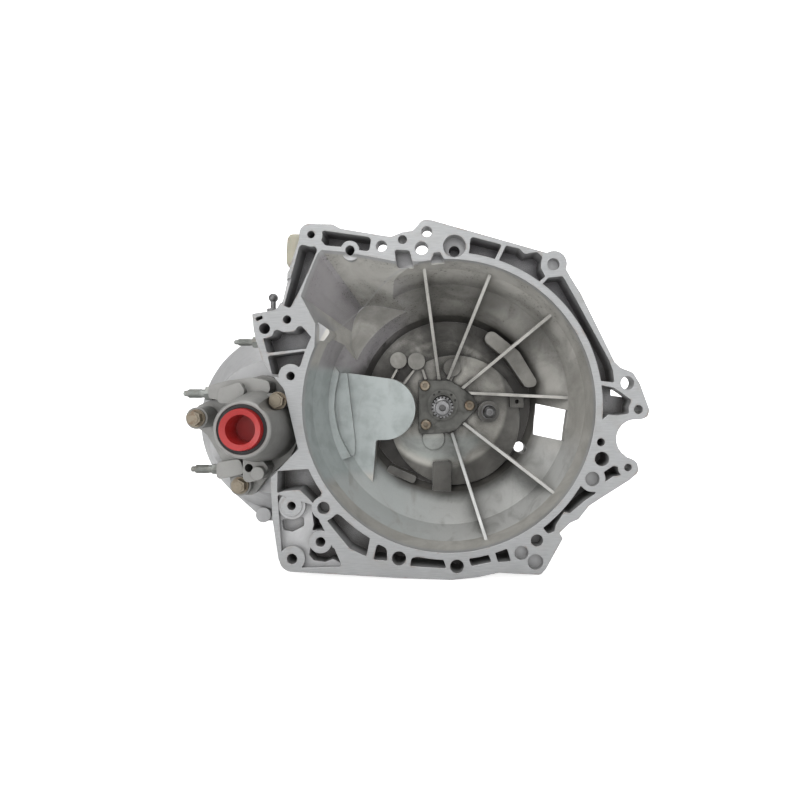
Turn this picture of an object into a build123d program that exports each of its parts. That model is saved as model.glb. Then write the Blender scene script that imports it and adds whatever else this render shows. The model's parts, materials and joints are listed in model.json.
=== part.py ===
from build123d import *
import math
import os

# Five-speed front-wheel-drive manual transmission (transaxle).
# Frame: origin on the input-shaft axis at the engine-side mating face of the
# clutch housing, +Y along the shafts away from the engine, +Z up.  Millimetres.

os.makedirs("parts", exist_ok=True)

# ---------------------------------------------------------------- driving sizes
# Axes along Y are (x, z) pairs.
INPUT = (0, 0)
OUTPUT = (-65.88, -4.0)              # output shaft (layshaft)
DIF = (-189.9, -19.6)                # differential
BELL = (6.5, 1.7)                    # bell mouth
DOME = (-183.3, -22.1)               # round of the case over the crown wheel
RAIL12 = (-52.3, 54.6)
RAIL34 = (-30.8, 51.5)
RAIL5 = (11.1, 43.7)
REV_RAIL = (28.0, -50.0)
PIVOT = (53.4, -7.6)                 # pivot stud of the release fork

RIM_R = 147.0                        # bell mouth radius at the mating face
DOME_R = 115.4
FLANGE_D = 34.0                      # depth of the engine flange band
EAR_T = 17.0                         # thickness of the flange ears at the through holes
FLOOR_Y = 112.0                      # floor of the bell
WALL_Y = 118                         # where the features inside the bell end
SPLIT_Y = 135.0                      # clutch housing / gear case joint face
CASE_SEAT_Y = SPLIT_Y + 12           # where the case bolt heads bear
REAR_Y = 310.0                       # gear case / rear cover joint face
COVER_SEAT_Y = REAR_Y + 12           # where the rear cover bolt heads bear
END_Y = 374.0                        # outside of the rear cover

MODULE = 2.2                         # change gears
FINAL_MODULE = 2.5                   # final drive
PRESSURE = math.radians(25.0)        # pressure angle
BACKLASH = 0.10                      # taken off each flank
TEETH = {1: (14, 46), 2: (21, 39), 3: (26, 34), 4: (31, 29), 5: (34, 26)}
FINAL_TEETH = (22, 78)
REV_TEETH = (14, 24, 36)             # input pinion, sliding idler, sleeve ring
# Driven gears: plain face, dog-side face, dog-ring end, cone end (all y), bore radius
GEAR_STATIONS = {1: (153, 167, 172, 177, 20), 2: (220, 207, 202, 197, 20),
                 3: (222, 235, 240, 245, 20), 4: (288, 275, 270, 265, 20),
                 5: (316, 328, 333, 338, 15)}
GROOVE12, GROOVE34, GROOVE5 = (188, 194), (252, 258), (345, 351)   # fork grooves, y span
FORK_PLAY = 0.2                      # each side of a fork in its groove

RUN = 0.05                           # radial running clearance
PILOT_R = 7.5
RAIL_R, THIN_RAIL_R = 6.5, 5.0
RAILS = [(RAIL12, RAIL_R), (RAIL34, RAIL_R), (RAIL5, THIN_RAIL_R)]
IDLER_SHAFT_R = 8.0
PIN_R = 8.0                          # planet pin
SHAFT_BORE, SHAFT_RACE = 15, 26      # bearing radii, inside and outside
DIF_BORE, DIF_RACE = 28, 45
INPUT_SEATS = [(118, 132), (293, 307)]
OUTPUT_SEATS = [(106, 122), (293, 307)]
DIF_SEATS = [(86, 102), (189.2, 204.5)]
CROWN_ROOM_R = 101.8                 # space round the crown wheel
DIF_MID = 143.0                      # y where the planet pin crosses

SELECTOR = (230.0, 98.0)             # (y, z) of the selector cross shaft
SEL_Y, SEL_Z = SELECTOR
SEL_R = 7
DRAIN = (-160, 160)                  # (x, y)
SWITCH = (-20, 276)                  # (x, y)
BREATHER = (-157.5, 46)              # (x, y)
FILLER = (186, 10)                   # (y, z)
STUDS = [(27, 14), (33, -66), (24, 67.5)]   # (y, z) of the bracket studs
STUD_ROOT_R = 3.45

# Bolt places, (x, z)
GUIDE_BOLTS = [(-21.0, 22.6), (31.6, -0.8), (-19.8, -23.4)]
CASE_BOLTS = [(-216, -133), (-180, -138), (-140, -128), (-62, -92), (0, -91), (66, -46), (68, 8),
              (66, 58), (14, 107), (-50, 107), (-116, 107), (-176, 107), (-206, 92)]
REAR_BOLTS = [(-131, 16), (-125, -40), (-74, -71), (-8, -71), (50, -55), (64, 4), (50, 66),
              (-26, 79), (-100, 77)]
# Extension housing bolts: place, y where the head bears, pad radius, head recess radius
EXT_BOLTS = [((-248.5, -10.8), 6.0, 11, 10.2), ((-165.5, 7.0), 4.0, 9.2, 9.6),
             ((-211.7, -82.1), 26.0, 11, 10.2)]
SQRT3 = math.sqrt(3)                 # across flats / corner radius of a hexagon


# ---------------------------------------------------------------- places
def polar(axis, radius, angle, across=0):
    """Point at radius and angle from axis, moved `across` at right angles to that line."""
    return (axis[0] + radius * math.cos(angle) - across * math.sin(angle),
            axis[1] + radius * math.sin(angle) + across * math.cos(angle))


def toward(start, end):
    """Direction from start to end, in radians from +X to +Z."""
    return math.atan2(end[1] - start[1], end[0] - start[0])


def circle(axis, radius, count, turn=0):
    return [polar(axis, radius, 2 * math.pi * i / count + turn) for i in range(count)]


# ---------------------------------------------------------------- basic solids
def y_plane(axis, y):
    return Plane(origin=(axis[0], y, axis[1]), x_dir=(1, 0, 0), z_dir=(0, 1, 0))


def cyl(axis, r, y0, y1):
    return Solid.make_cylinder(r, y1 - y0, y_plane(axis, y0))


def cyls(places, r, y0, y1):
    return [cyl(place, r, y0, y1) for place in places]


def tube(axis, r_in, r_out, y0, y1):
    return cyl(axis, r_out, y0, y1) - cyl(axis, r_in, y0 - 1, y1 + 1)


def cyl_x(axis, r, x0, x1):
    """Cylinder along X; axis is (y, z)."""
    return Solid.make_cylinder(r, x1 - x0, Plane(origin=(x0, *axis), z_dir=(1, 0, 0)))


def cyl_z(axis, r, z0, z1):
    """Cylinder along Z; axis is (x, y)."""
    return Solid.make_cylinder(r, z1 - z0, Plane(origin=(*axis, z0), z_dir=(0, 0, 1)))


def box(x0, x1, y0, y1, z0, z1):
    return Solid.make_box(x1 - x0, y1 - y0, z1 - z0, Plane(origin=(x0, y0, z0)))


def rounded_edges(outline, y):
    """Edges of a closed outline at depth y; every point is (x, z) or (x, z, radius)."""
    count = len(outline)
    corners = [Vector(p[0], y, p[1]) for p in outline]
    to_last = [(corners[i - 1] - corners[i]).normalized() for i in range(count)]
    to_next = [(corners[(i + 1) % count] - corners[i]).normalized() for i in range(count)]
    halves = [math.acos(max(-1, min(1, a.dot(b)))) / 2 for a, b in zip(to_last, to_next)]
    # length each rounding takes off its two sides
    trims = []
    for point, half in zip(outline, halves):
        radius = point[2] if len(point) > 2 else 0
        rounded = radius > 0 and math.radians(1.5) <= half <= math.radians(88.5)
        trims.append(radius / math.tan(half) if rounded else 0)
    # shrink neighbouring roundings until they share their side
    for _ in range(4):
        for i in range(count):
            j = (i + 1) % count
            room = 0.96 * (corners[j] - corners[i]).length
            if trims[i] + trims[j] > room:
                shrink = room / (trims[i] + trims[j])
                trims[i] *= shrink
                trims[j] *= shrink
    trims = [t if t >= 0.05 else 0 for t in trims]
    starts = [c + d * t for c, d, t in zip(corners, to_last, trims)]
    ends = [c + d * t for c, d, t in zip(corners, to_next, trims)]
    edges = []
    for i in range(count):
        if trims[i]:
            bisector = (to_last[i] + to_next[i]).normalized()
            reach = trims[i] * math.tan(halves[i]) * (1 / math.sin(halves[i]) - 1)
            middle = corners[i] + bisector * reach
            edges.append(Edge.make_three_point_arc(starts[i], middle, ends[i]))
        following = starts[(i + 1) % count]
        if (following - ends[i]).length > 1e-6:
            edges.append(Edge.make_line(ends[i], following))
    return edges


def slab(outline, y0, y1):
    """Outline with rounded corners, extruded from y0 to y1."""
    return Solid.extrude(Face(Wire(rounded_edges(outline, y0))), Vector(0, y1 - y0, 0))


def wire_at(points, y):
    return Wire.make_polygon([(p[0], y, p[1]) for p in points], close=True)


def poly(points, y0, y1):
    """Sharp-cornered outline, extruded from y0 to y1."""
    return Solid.extrude(Face(wire_at(points, y0)), Vector(0, y1 - y0, 0))


def prism(points, vector):
    """Polygon of (x, y, z) points, extruded along a vector."""
    return Solid.extrude(Face(Wire.make_polygon(points, close=True)), Vector(*vector))


def loft_between(points_a, y_a, points_b, y_b):
    return Solid.make_loft([wire_at(points_a, y_a), wire_at(points_b, y_b)], True)


def hexagon(axis, corner_r, y0, y1, turn=0.0):
    """Hexagonal bar, turned by `turn` degrees."""
    return poly(circle(axis, corner_r, 6, math.radians(turn)), y0, y1)


def revolved(points, origin, direction):
    return Solid.revolve(Face(Wire.make_polygon(points, close=True)), 360, Axis(origin, direction))


def turned(axis, profile):
    """Solid of revolution along Y; profile is (radius, y)."""
    x, z = axis
    return revolved([(x + r, y, z) for r, y in profile], (x, 0, z), (0, 1, 0))


def turned_x(axis, profile):
    """Solid of revolution along X; axis is (y, z), profile is (radius, x)."""
    y, z = axis
    return revolved([(x, y, z + r) for r, x in profile], (0, y, z), (1, 0, 0))


def turned_z(axis, profile):
    """Solid of revolution along Z; axis is (x, y), profile is (radius, z)."""
    x, y = axis
    return revolved([(x + r, y, z) for r, z in profile], (x, y, 0), (0, 0, 1))


def fuse(*shapes):
    return Part() + list(shapes)


def biggest(shape):
    return max(shape.solids(), key=lambda solid: solid.volume)


def save(name, *shapes):
    solids = [solid for shape in shapes for solid in shape.solids()]
    piece = solids[0] if len(solids) == 1 else Compound(children=solids)
    piece.label = name
    export_step(piece, "parts/%s.step" % name)


# ---------------------------------------------------------------- gear geometry
def involute(angle):
    return math.tan(angle) - angle


def toothed(axis, teeth, flank, turn=0):
    """Toothed outline; flank is (radius, half angle of the tooth) from root to tip."""
    outline = []
    for i in range(teeth):
        centre = turn + i * (2 * math.pi / teeth)
        outline += [polar(axis, r, centre - half) for r, half in flank]
        outline += [polar(axis, r, centre + half) for r, half in reversed(flank)]
    return outline


def gear(axis, teeth, module, y0, y1, turn, space=False):
    """Straight-tooth stand-in for a helical gear; a tooth (or a space) points at
    angle `turn` (radians, from +X to +Z)."""
    pitch_r = module * teeth / 2
    base_r = pitch_r * math.cos(PRESSURE)
    tip_r = pitch_r + 0.85 * module
    root_r = pitch_r - 1.1 * module
    half = math.pi / (2 * teeth) - BACKLASH / pitch_r
    start_r = max(base_r, root_r)
    flank = []
    for k in range(5):
        r = start_r + (tip_r - start_r) * k / 4
        flank.append((r, half + involute(PRESSURE) - involute(math.acos(base_r / r))))
    if root_r < start_r - 1e-6:
        flank.insert(0, (root_r, flank[0][1]))
    return poly(toothed(axis, teeth, flank, turn + (math.pi / teeth if space else 0)), y0, y1)


def spline(axis, teeth, r_root, r_tip, y0, y1, fill=0.5):
    """Splined bar; `fill` is the share of the pitch that the teeth take."""
    width = 2 * math.pi / teeth * fill
    return poly(toothed(axis, teeth, [(r_root, width * 0.56), (r_tip, width * 0.40)]), y0, y1)


TO_OUTPUT = toward(INPUT, OUTPUT)
TO_DIF = toward(OUTPUT, DIF)


def idler_axis():
    """Reverse idler centre, below the line of shaft centres."""
    centres = math.hypot(*OUTPUT)
    to_input = MODULE * (REV_TEETH[0] + REV_TEETH[1]) / 2
    to_output = MODULE * (REV_TEETH[1] + REV_TEETH[2]) / 2
    along = (to_input ** 2 - to_output ** 2 + centres ** 2) / (2 * centres)
    return polar(INPUT, along, TO_OUTPUT, math.sqrt(to_input ** 2 - along ** 2))


def sleeve_ring_turn():
    """Angle of a tooth of the ring on the 1-2 sleeve, taken from the idler's teeth."""
    pitch = 2 * math.pi / REV_TEETH[1]
    to_output = toward(IDLER, OUTPUT)
    # fraction of a pitch past a tooth; a space of the idler points at the input pinion
    past = ((to_output - (toward(IDLER, INPUT) + pitch / 2)) / pitch) % 1.0
    return to_output + math.pi + 2 * math.pi / REV_TEETH[2] * (0.5 + past)


IDLER = idler_axis()

# ---------------------------------------------------------------- engine flange outline
# Clockwise seen with +X to the right, from the upper -X corner: (x, z, corner radius)
FLANGE_UPPER = [
    (-143, 184.2, 10), (-109.5, 183.5, 8), (-102.5, 179.2, 8), (-64.5, 172.9, 10),
    (-51.5, 170.9, 8), (-40.5, 175.5, 8), (-29.5, 177.1, 6), (-20, 188.1, 7), (-11.5, 187.8, 8),
    (103.5, 155.1, 5), (119.5, 145.7, 3), (128.5, 129.7, 8), (138.5, 113.7, 10), (172, 45.7, 9),
    (178.5, 39.7, 6), (190.5, 35.2, 9), (197.5, 23.7, 9), (207, -2.3, 5), (205, -9.3, 5),
    (198.5, -11.7, 3), (189.5, -11.9, 0),
]
FLANGE_LOWER = [
    (185.5, -50.9, 0), (194.5, -53.8, 6), (196.5, -64.3, 7), (186.5, -72.8, 3), (157.5, -91.1, 6),
    (146.5, -98.3, 6), (136, -111.6, 3), (127.5, -115.3, 4), (117, -125.3, 1),
    (120.5, -130.6, 2.5), (104.5, -159.3, 6), (98.5, -167.3, 6), (72.5, -166.1, 6),
    (56.5, -165.1, 10), (35.5, -169.6, 20), (9.5, -172.3, 30), (-42.5, -170.5, 30),
    (-144.5, -164.5, 6), (-156.5, -163.8, 9), (-164, -152.3, 8), (-170, -112.3, 8),
    (-172, -70.3, 0), (-144.5, -41.3, 0), (-158.5, 18.7, 10), (-168.5, 30.7, 6),
    (-180.5, 47.7, 6), (-186.5, 67.7, 6), (-188.9, 77.7, 4), (-190.5, 93.9, 1),
    (-166.5, 97.7, 8), (-160.5, 107.7, 8), (-152.5, 141.7, 6), (-143.5, 167.7, 3),
]
NOTCH, NOTCH_R = (193.5, -31.3), 19.8   # half-round notch on the +X side

# Cast pockets in the flange band: depth, then outline (x, z, corner radius)
POCKETS = [
    (29, [(-120.5, 177.5, 4), (-71, 170.4, 4), (-73.5, 156.4, 3), (-84, 157.7, 1),
          (-100.5, 160.7, 2), (-117.5, 162.4, 3), (-122.5, 169.2, 2)]),
    (29, [(-142.7, 163.4, 4), (-123.9, 160.7, 4), (-133.5, 137.7, 6), (-143.5, 116.2, 3),
          (-152.5, 99.2, 3), (-159.5, 102.2, 3)]),
    (29, [(-179.5, 69.7, 1.5), (-170.5, 71.7, 2), (-167.5, 79.2, 4), (-159.5, 75.7, 3),
          (-148, 76.2, 4), (-143, 84.2, 4), (-130.7, 70.2, 3), (-132, 59.2, 2.5),
          (-142.5, 58.3, 3), (-175.5, 54.7, 2)]),
    (29, [(-175, 51.7, 2), (-136.5, 56.8, 2), (-139, 46.7, 3), (-143.5, 40.7, 2),
          (-161.5, 40.7, 2), (-163, 30.2, 1.5), (-170, 31.2, 3)]),
    (29, [(-186.5, 86.2, 1.5), (-187, 90.2, 1.5), (-179.5, 92.7, 1.5), (-180, 88.7, 1.5)]),
    (29, [(28.2, 171.4, 3), (59.5, 163.1, 2), (50.8, 145.4, 2), (26.1, 150.7, 2)]),
    (29, [(63.5, 162.3, 2), (76.5, 159.4, 3), (82.5, 153.7, 3), (88.5, 154.9, 3),
          (94.5, 155.9, 3), (100, 151.2, 3), (98.5, 139.7, 3), (103, 131.2, 1),
          (93.8, 123.9, 1.5), (77.5, 133.4, 30), (54.5, 143.4, 2)]),
    (29, [(106, 130.2, 1.5), (120.5, 131.7, 3), (133.5, 108.7, 10), (167, 47.2, 6),
          (170.5, 37.7, 6), (172, 25.2, 1.5), (155, 27.2, 1.5), (150, 47.7, 40),
          (140.5, 67.7, 60), (126.5, 89.7, 60), (110.5, 110.2, 60), (98, 121.5, 1.5)]),
    (22, [(156.5, 22.9, 2), (171, 20.2, 2), (179.5, 14.7, 4), (189.3, 7.4, 2), (186.3, 0.7, 2),
          (186.5, -5.8, 2), (175.5, -7.6, 4), (166, -6.8, 2), (157.3, -13.8, 1)]),
    (29, [(162, -63.8, 2), (171, -58.1, 2.5), (176, -59.3, 2), (178.8, -67.6, 1.5),
          (170.5, -68.8, 2), (161.5, -74.8, 1), (160.3, -66.3, 1)]),
    (29, [(128, -81.8, 3), (135.5, -77.1, 3), (143.5, -80.8, 3), (155, -84.6, 1.5),
          (142.5, -92.8, 8), (127.5, -105.6, 1.2), (121.5, -104.3, 2), (113.5, -117.3, 4),
          (112, -123.8, 3), (105.5, -126.3, 3), (100, -119.6, 3), (116.5, -99.3, 5)]),
    (29, [(52.5, -144.9, 1.5), (64.5, -140.6, 2), (68.5, -153.5, 1), (55.5, -154.5, 1.5)]),
    (24, [(26.1, -150.9, 2), (45.5, -146.1, 2), (49.3, -154.3, 1.5), (29, -158.5, 2)]),
    (26, [(-31, -150.3, 3), (-25, -149.1, 3), (1, -151.8, 3.5), (4, -160.8, 1.5),
          (-32.5, -158.5, 1.5)]),
    (27, [(-65.5, -135.6, 3), (-55.7, -140.8, 5), (-55.2, -153.1, 1.5), (-69.2, -152.1, 1.5)]),
    (22, [(-111.5, -110.8, 2), (-105.5, -105.9, 3), (-97.5, -110.5, 10), (-72.5, -130.6, 1),
          (-76, -148.8, 1.5), (-92.5, -141.3, 4), (-104.5, -126.8, 8), (-115.5, -113.1, 1)]),
    (29, [(-132, -102.6, 1.5), (-127, -104.8, 2), (-124, -115.8, 4), (-119, -122.8, 0.8),
          (-131.5, -124.3, 0.8), (-130, -118.3, 2)]),
    (22, [(-133.5, -141.3, 1.5), (-112.5, -140.1, 2), (-108.3, -140.1, 1.5),
          (-100.5, -158.3, 0.8), (-110.5, -152.9, 2.5), (-118.5, -156.1, 4), (-130, -154.5, 3),
          (-134.7, -148.8, 2)]),
    (12, [(-162.5, -113.3, 2), (-140, -110.3, 2), (-139.5, -119.3, 4), (-151.5, -125.5, 4),
          (-161, -123.8, 3)]),
    (29, [(-165, -63.3, 1), (-134.2, -61.3, 1), (-128.5, -72.3, 6), (-120.7, -85.3, 1.5),
          (-122.5, -89.8, 1.5), (-129.5, -95.5, 1), (-135, -89.8, 2), (-143, -82.3, 3),
          (-157.5, -83.1, 3), (-165.5, -85.3, 1)]),
]
SHALLOW_POCKETS = [
    (5.5, [(-165.2, -86.5, 2), (-131, -97, 2), (-118.5, -122, 2), (-100.5, -159, 2),
           (-154, -160.4, 8), (-160.6, -150, 6)]),
    (3, [(-152.5, 140, 4), (-146, 118, 4), (-158, 103, 4), (-163, 104, 3)]),
]
# Side cavity above the bell towards -X, at the mouth and at its inner end: (x, z)
CAVITY_MOUTH = [(-121.5, 158.5), (-100.5, 156.7), (-80.5, 153.3), (-48.5, 147.2), (3.5, 147.2),
                (3.5, 107.7), (-82.5, 50), (-128.6, 59.5), (-127.6, 84.5), (-142.2, 112.2),
                (-136, 129.7), (-125, 155.2)]
CAVITY_END = [(-92, 112), (-84, 114), (-76, 114), (-44, 108), (0, 100), (0, 80), (-70, 44),
              (-98, 50), (-104.5, 68), (-104, 84), (-102, 96), (-96, 108)]
# Shallow recesses in the upper rim of the bell
RIM_RECESSES = [
    [(-48, 158.1, 2), (-33, 157.4, 3), (-29, 141.7, 2), (-46, 141.7, 3)],
    [(-8.5, 155.2, 1.5), (-2.5, 155.7, 2), (3.5, 145.7, 1), (-12.5, 145.7, 1)],
]
# Holes in the flange: (x, z, radius, depth)
THROUGH, DEEP, MEDIUM, SHALLOW, COUNTERBORE = FLANGE_D + 8, 31, 15, 8, 12
HOLES = [
    (-131.5, 173.2, 3.8, DEEP), (-92.5, 157.7, 4.7, DEEP), (-61, 161.7, 5.6, THROUGH),
    (-40, 168.1, 4.5, THROUGH), (-21, 159.7, 6.7, THROUGH), (-15.8, 176.2, 5.4, THROUGH),
    (185, 24.7, 6.8, THROUGH), (196, -1.8, 4.5, THROUGH), (158.5, -34.5, 4, DEEP),
    (159.5, -51.3, 7.2, DEEP), (150, -71.3, 7.2, SHALLOW), (185.5, -59.8, 3.8, THROUGH),
    (94.5, -132.8, 6.1, MEDIUM), (79, -145.3, 7, SHALLOW), (93, -154.3, 7.8, SHALLOW),
    (14.5, -158.8, 6.9, DEEP), (-43.5, -150.8, 7.1, DEEP), (-119, -100.3, 6.2, MEDIUM),
    (-150.5, -151.3, 5.2, DEEP), (-151, -98.3, 4.3, DEEP), (-122, -134.3, 4.9, DEEP),
    (-178, 79.2, 5.5, DEEP), (-155.5, 88.2, 4.2, DEEP), (-152, 31.7, 4.3, DEEP),
    (12, 161.7, 11.4, COUNTERBORE), (111, 143.4, 6.1, SHALLOW),
]
# Round bosses in the flange: (x, z, radius)
BOSSES = [
    (-131.5, 172.7, 11.5), (-92.5, 157.7, 9.3), (-21, 159.7, 12.6), (12, 161.7, 15.5),
    (111.5, 144, 12.9), (185, 23.7, 10.3), (196, -1.8, 9.6), (150, -71.3, 13),
    (185.5, -60.3, 9.8), (159.5, -51.3, 11), (93, -154.3, 12.5), (14.5, -158.8, 10.5),
    (-43.5, -150.8, 10.5), (-119, -100.3, 11.8), (-150.5, -151.3, 12.8), (-122, -134.3, 11.3),
    (-178, 79.2, 9.7), (-155.5, 88.2, 11.5), (-152, 31.7, 12),
]
# Outline of the joint between clutch housing and gear case: (x, z, corner radius)
CASE_OUT = [(-216, -141, 12), (-150, -143, 30), (-104, -100, 30), (-46, -86, 30), (30, -82, 40),
            (62, -45, 40), (64, 40, 40), (44, 86, 30), (24, 120, 14), (-186, 120, 14),
            (-200, 84, 10), (-232, 60, 20), (-262, -100, 20)]


# ---------------------------------------------------------------- clutch housing
def notch_edge():
    """Points round the half-round notch, from its upper to its lower lip."""
    upper = toward(NOTCH, FLANGE_UPPER[-1])
    lower = toward(NOTCH, FLANGE_LOWER[0]) + 2 * math.pi
    return [(*polar(NOTCH, NOTCH_R, upper + (lower - upper) * k / 12), 0) for k in range(1, 12)]


def engine_flange():
    flange = slab(FLANGE_UPPER + notch_edge() + FLANGE_LOWER, 0, FLANGE_D)
    for depth, outline in POCKETS:
        flange = flange - slab(outline, -1, depth)
    return flange - [slab(outline, -1, depth) for depth, outline in SHALLOW_POCKETS]


def rib(start, end, y_start, y_end, thick=3.4):
    """Thin blade in the bell from start to end (x, z), its free edge y_start to y_end."""
    foot = 117.0
    angle = toward(start, end)
    x0, z0 = polar(start, 0, angle, thick / 2)
    x1, z1 = polar(end, 0, angle, thick / 2)
    return prism([(x0, y_start, z0), (x1, y_end, z1), (x1, foot, z1), (x0, foot, z0)],
                 (thick * math.sin(angle), 0, -thick * math.cos(angle)))


# Blades inside the bell: start, end, y at start, y at end, thickness
RAIL_RIBS = [((-53, 44), (-61, 28), 100, 96, 2.6), ((-33, 42), (-46, 24), 100, 96, 2.6),
             ((-24, 42), (-20, 30), 100, 98, 2.6), ((11.5, 34), (8, 26), 100, 98, 2.6)]
BELL_RIBS = [((-3, 20), (-19.3, 145), 92, 22), ((6, 30), (49.8, 138.5), 92, 26),
             ((20, 17), (115, 97.3), 92, 28), ((30, 14), (139, 9), 92, 60),
             ((20, -18), (119.8, -92.6), 92, 26), ((8, -24), (45.4, -138.2), 92, 20)]
# Raised areas beside the output bulge, y span then outline
OUTPUT_STEPS = [
    (72, 119, [(-116, 38, 2), (-65.2, 31.1, 0), (-60, 0, 0), (-65.2, -39, 0), (-75.4, -39, 3),
               (-80.5, -106, 1), (-108, -98, 0), (-140, -40, 0), (-140, 20, 0)]),
    (60, 76, [(-123, 47.8, 1), (-114.9, 37.2, 2), (-119.5, 13.8, 60), (-120.7, -4.9, 60),
              (-114.9, -33, 60), (-102, -56.5, 1), (-123, -63.9, 1), (-142, -40, 0),
              (-142, 36, 0)]),
    (67.5, 76, [(-121, 37.4, 1), (-107.3, 36.4, 1), (-102.4, -5.3, 80), (-98.4, -38.7, 20),
                (-99, -56, 2), (-121, -56, 1)]),
]
# Raised pads on the bell floor, y start then outline
FLOOR_PADS = [
    (84, [(-99, 98, 4), (-80, 112, 4), (-60, 118, 4), (-58, 108, 3), (-84, 92, 3)]),
    (84, [(55, 88, 8), (88, 62, 10), (112, 22, 6), (96, 20, 6), (74, 52, 10), (46, 76, 8)]),
    (92, [(-66, -78, 3), (-34, -92, 3), (-30, -84, 3), (-62, -70, 3)]),
    (96, [(-12, -66, 3), (10, -66, 3), (10, -122, 3), (-12, -122, 3)]),
]


def bell_details():
    """Raised work inside the bell, trimmed to the bell wall."""
    inside = fuse(
        cyl(INPUT, 34, 106, WALL_Y),                      # bearing boss behind the guide plate
        slab([(-30.5, 31, 3), (9.8, 31, 4), (33.8, 15.4, 6), (45.3, -1.4, 5), (17.2, -31.5, 4),
              (9, -34.6, 4), (-28, -37, 3)], 106, WALL_Y),
        cyl((14.6, -18.2), 77, 105, WALL_Y),              # plateau round the input shaft
        cyl(OUTPUT, 35, 72, 120),                         # bulge over the output shaft bearing
        *[slab(outline, y0, y1) for y0, y1, outline in OUTPUT_STEPS],
        cyl((-52.3, 52.4), 9.8, 98, WALL_Y),
        *cyls([RAIL34, RAIL5], 10.2, 98, WALL_Y),
        cyl((-38.0, 114.3), 7.3, 84, WALL_Y),
        cyl((-67.9, 105.0), 6.0, 88, WALL_Y),
        cyl(IDLER, 13, 103, WALL_Y),
        *[rib(*row) for row in RAIL_RIBS + BELL_RIBS],
        box(79, 95, 96, WALL_Y, -3, 12),                  # small drilled pad
        cyl(PIVOT, 12.5, 88, WALL_Y),                     # seat of the fork pivot
        *[slab(outline, y0, WALL_Y) for y0, outline in FLOOR_PADS],
    )
    bell_room = turned(BELL, [(0, 1), (148, 1), (148, 2), (146, 30), (136, 62), (106, 98),
                              (101, 118.5), (0, 118.5)])
    return inside & bell_room


def housing_bores():
    """Openings for shafts, bearings and rails."""
    back = SPLIT_Y + 1
    return [cyl(DIF, CROWN_ROOM_R, 126, back), cyl(OUTPUT, 31.5, 125, back),
            cyl(DIF, 66, 104, 127), cyl(DIF, DIF_RACE, 84, 105), cyl(DIF, 30.0, 40, 85),
            cyl(OUTPUT, SHAFT_RACE, 104, 126), cyl(OUTPUT, 20.0, 98, 105),
            cyl(INPUT, SHAFT_RACE, 118, back), cyl(INPUT, 17.5, 110, 119),
            cyl(INPUT, 14.0, 100, 112),
            *[cyl(axis, r + RUN, 112, back) for axis, r in RAILS],
            cyl(IDLER, IDLER_SHAFT_R, 114, back), cyl(REV_RAIL, THIN_RAIL_R, 122, back)]


def housing_holes():
    holes = [cyl((x, z), r, -1, depth) for x, z, r, depth in HOLES]
    holes.append(cyl((12, 159.2), 5.5, 11, 30))           # bottom of the counterbored hole
    # the ears behind the through holes are thinner than the flange
    for ear in ([(-33, 150.5), (-6, 150.5), (-5, 196), (-34, 196)],
                [(-69, 155), (-52, 155), (-52, 196), (-70, 196)],
                [(174.6, 12), (204, 8), (204, 42), (174.6, 42)]):
        holes.append(slab(ear, EAR_T, 46))
    # window for the release fork, and small openings in the bell
    holes.append(poly([(109.4, 1.6), (139, -5), (134, -39.3), (105.5, -34.9)], 34, 117.9))
    holes.append(cyl((91.5, -51.0), 6.3, 90, 119))
    holes.append(cyl((87, 4), 2.4, 90, 108))
    holes.append(cyl(PIVOT, 4.0, 87, 104))
    # seat and fixing holes of the guide plate
    holes.append(slab([(-28.5, 29.2, 2), (8.8, 29.2, 5), (32.6, 13.1, 8), (43.5, -1.4, 5),
                       (16.0, -29.8, 5), (8.8, -32.9, 6), (-26.2, -35.1, 2),
                       (-28.5, -30.2, 2)], 80, 106))
    holes += cyls(GUIDE_BOLTS, 3.0, 99, WALL_Y)
    # fixing holes of the extension housing
    holes += [cyl(bolt[0], 4.0, 45, 60) for bolt in EXT_BOLTS]
    holes.append(cyl_x(STUDS[2], STUD_ROOT_R, -196, -178))
    holes.append(cyl_z(BREATHER, 4.5, 126, 146))
    return holes


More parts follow.
